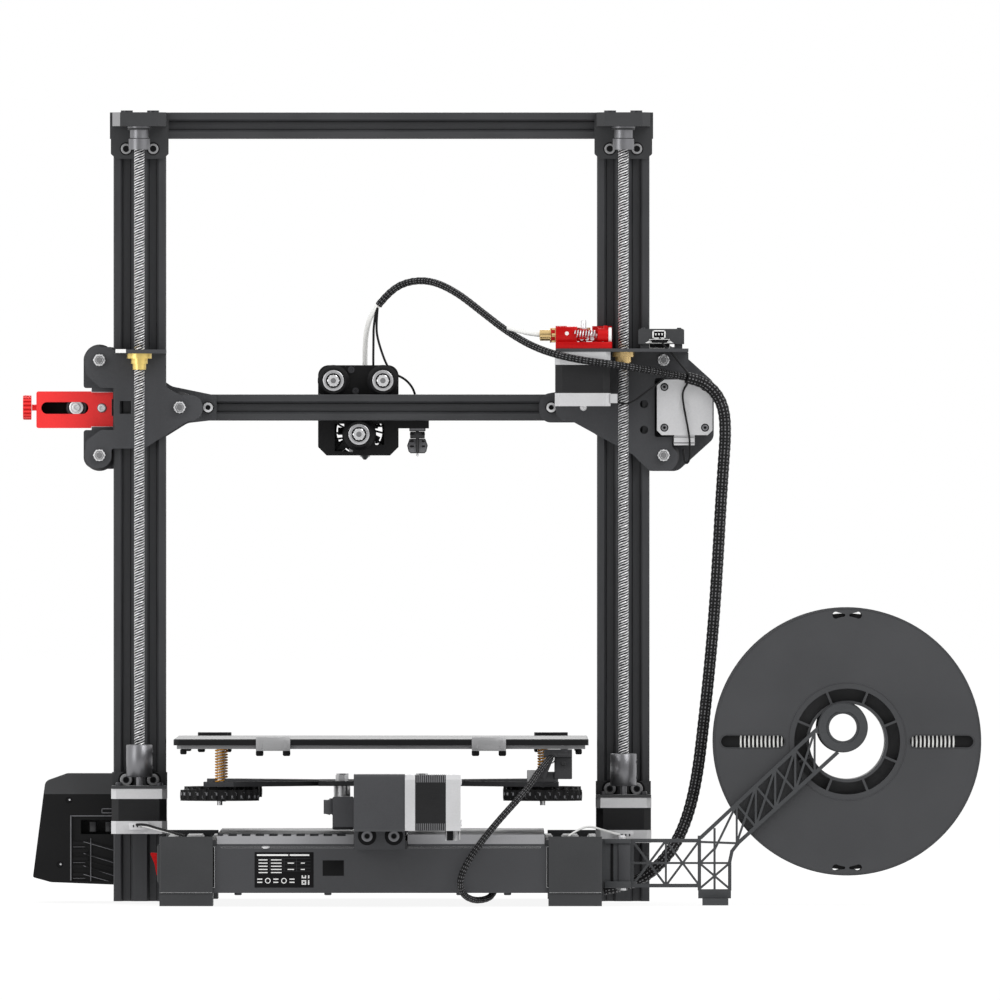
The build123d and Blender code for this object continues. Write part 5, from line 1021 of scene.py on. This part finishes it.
bm = bmesh.new()
put_lathe(bm, [(0, 0), (3.2, 0), (3, 0.5), (1.8, 0.8), (0, 0.8)], (87, 150.9, 44.8), (0, 0.4, 0.9), 24, 0)
put_box(bm, (-121, 121), (151, 151.3), (44, 44.8), 0.1, 2)
for x in (-60, 40, -96, 108):
    put_lathe(bm, [(0, 0), (2.8, 0), (2.8, 1.4), (2.2, 1.9), (0, 1.9)], (x, 140, 9.95), DOWN, 20, 1)
for side in SIDES:
    for y, out in ((154.9, 1), (-254.9, -1)):
        put_box(bm, (side * 127.6, side * 166.8), (y, y + out * 0.35), (10.1, 10.5), 0.1, 2)
        put_box(bm, (side * 125.6, side * 127.4), (y - out * 3, y - out * 2.4), (14, 45), 0.2, 2)
for x in (-10.1, 10.1):
    # Black ring round each screw head and black in its socket: painted shade.
    put_turned(bm, (x, 184, 53.4), REAR, 32,
               (2, [(7, 0), (6.8, 0.5), (4.2, 0.6)]),
               (3, [(4.2, 0.6), (4.2, 4.6), (3.7, 5), (2.3, 5)]),
               (2, [(2.3, 5), (2.1, 3.6), (0, 3.6)]))
keep(bm, "base_details", "frame", STEEL, DARK_STEEL, BLACK_PRINT_AND_SHADE, SMOKY_AND_HIGHLIGHT, slot="bright_steel")

bm = bmesh.new()
put_prism(bm, [(36.3, 70.8), (38.4, 69.2), (42.2, 70.2), (42.2, 80), (38.4, 81), (36.3, 79.6)], "XZ",
          163.2, 175.6, 0.6)
put_box(bm, (42, 43), (166.5, 172.5), (72.4, 78.4), 0.35, 1)
put_box(bm, (20.5, 36.4), (178, 178.5), (58.4, 60.2), 0.2, 2)
keep(bm, "limit_switch", "frame", COATED, CLIP_AND_HIGHLIGHT, BLACK_PRINT_AND_SHADE, slot="black_plastic")

# ---------------------------------------------------------------- spool

def hoop(y, radius, count):
    """Points on a circle round the spool's axis."""
    return [spot(SPOOL_X + radius * cos(2 * pi * k / count), y, SPOOL_Z + radius * sin(2 * pi * k / count))
            for k in range(count)]


bm = bmesh.new()
width, gauge, inner = 60, 1.75, 60.0
turns = int(width / gauge)
profile = [(inner, 0.4)]
for k in range(turns):
    for part in range(5):
        angle = pi * part / 4
        profile.append((WOUND_R - 0.2 + 0.85 * sin(angle), 0.4 + gauge * (k + 0.5 - 0.5 * cos(angle))))
profile.append((inner, 0.4 + turns * gauge))
put_lathe(bm, profile, (SPOOL_X, SPOOL_FRONT + 3.3, SPOOL_Z), REAR, 96)
for y, axis in ((99.7, REAR), (38.3, FRONT)):
    put_lathe(bm, [(44, 0), (97, 0), (97, 0.2), (44, 0.2), (44, 0)], (SPOOL_X, y, SPOOL_Z), axis, 96, 1)
for level in range(11):
    for y in (99.4, 38.6):
        put_tube(bm, hoop(y, 49.6 + level * 3.12, 80), 0.85, 8, closed=True)
keep(bm, "wound_filament", "spool", FILAMENT, DEEP, sharp=50, slot="white_tube")

bm = bmesh.new()
for y, out in ((SPOOL_REAR, 1), (SPOOL_FRONT, -1)):
    for side in SIDES:
        rim = []
        for k in range(24):
            turn = 2 * pi * k / 24
            shift = side * 71.6 + (19.6 if cos(turn) >= 0 else -19.6)
            rim.append(spot(SPOOL_X + shift + 5.0 * cos(turn), y, SPOOL_Z + 5.0 * sin(turn)))
        put_tube(bm, rim, 0.45, 6, closed=True)
    for radius in (44.6, 100.6):
        put_tube(bm, hoop(y - out * 0.15, radius, 96), 0.5, 6, closed=True)
keep(bm, "spool_beads", "spool", SPOOL, sharp=60, slot="spool_plastic")

bm = bmesh.new()
put_lathe(bm, [(12, 0), (17.4, 0), (18.2, 0.6), (18.2, 1.2), (12.6, 1.2), (12, 0)], (ARM_X, 110.4, ARM_Z),
          REAR, 64)
for side in SIDES:
    put_box(bm, (ARM_X - 4.2, ARM_X + 4.2), (106, 111.5), (ARM_Z + side * 11.4, ARM_Z + side * 13.6), 0.4)
for low, high in ((46.9, 50.4), (13.3, 18.3)):
    put_box(bm, (-189.4, -169.5), (116, 118.6), (low, high), 0.4)
put_box(bm, (-188.8, -180), (115.8, 117.4), (18, 47), 0.4, 1)
put_box(bm, (-176.5, -174), (115.9, 116.5), (18, 47), 0.2, 2)
for z in (50.4, 11.2):
    put_lathe(bm, [(0, 0), (3.4, 0), (3.4, 1.6), (2.4, 2.6), (0, 2.6)], (-182.5, 108, z), UP, 20, 3)
keep(bm, "arm_clamp", "frame", PRINTED, COATED, BLACK_PRINT_AND_SHADE, STEEL, slot="printed_plastic")

# ---------------------------------------------------------------- control box

bm = bmesh.new()
# Each screw sits in a flat black ring of painted shade, with a small steel dot off its middle as a painted
# glint.
for x, z in ((239.1, 78), (246, 28.8)):
    put_lathe(bm, [(2.6, 0), (2.6, 0.12), (1.6, 0.12), (1.5, -0.2), (0, -0.2)], (x, -40, z), REAR, 20)
    put_lathe(bm, [(0, 0), (0.9, 0), (0.7, 0.5), (0, 0.6)], (x - 0.6, -40, z + 0.3), REAR, 14, 1)
for high, low in ((46.6, 40), (37.7, 30.5), (28.2, 20.6), (21.7, 15.3)):
    put_prism(bm, [(228, high), (228, high - 0.7), (205, low - 0.7), (205, low)], "XZ", -41.2, -40.5,
              0.1, 2)
put_box(bm, (222, 222.7), (-41, -40.3), (15.5, 49), 0.1, 2)
for z in (18, 22, 26, 30, 34, 38, 42, 46):
    put_box(bm, (226.5, 236), (-41.6, -41), (z, z + 0.5), 0.1, 2)
put_prism(bm, [(238.4, 66.4), (171, 66.4), (171, 65.5), (237.6, 65.5)], "XZ", -40.8, -40, 0.1, 2)
for x in (180, 188, 199, 206, 218):
    put_box(bm, (x, x + 5.5), (-46, -44), (53.5, 61.8), 0.5, 3)
for low, high in ((67.9, 68.7), (71, 71.8)):
    put_box(bm, (205.4, 214.2), (-40.2, -39.3), (low, high), 0.1, 2)
put_box(bm, (213.4, 214.2), (-40.2, -39.3), (67.9, 71.8), 0.1, 2)
put_box(bm, (237, 238.2), (-40.1, -39.5), (16.5, 66.5), 0.15, 2)
keep(bm, "box_details", "frame", BLACK_PRINT_AND_SHADE, STEEL, SMOKY_AND_HIGHLIGHT, GLOSSY, slot="black_plastic")

bm = bmesh.new()
put_prism(bm, [(-41.5, -23), (37.5, -23), (35.5, 38), (-41.5, 38)], "SLOPE", -1.1, 0.35, 0.3)
put_prism(bm, [(-38.5, -15), (14.5, -15), (14.5, 25), (-38.5, 25)], "SLOPE", 0.2, 0.75, 0.25, 1)
put_prism(bm, [(-35.5, -11), (11.5, -11), (11.5, 22), (-35.5, 22)], "SLOPE", 0.6, 0.9, 0.1, 2)
for v, right in ((17, -13), (11, -3), (5, -7), (-1, 1), (-7, -18)):
    put_prism(bm, [(-33, v), (right, v), (right, v + 1.6), (-33, v + 1.6)], "SLOPE", 0.85, 0.95, 0, 3)
keep(bm, "screen_panel", "frame", DEEP, GLOSSY, SCREEN, SMOKY_AND_HIGHLIGHT, slot="black_plastic")
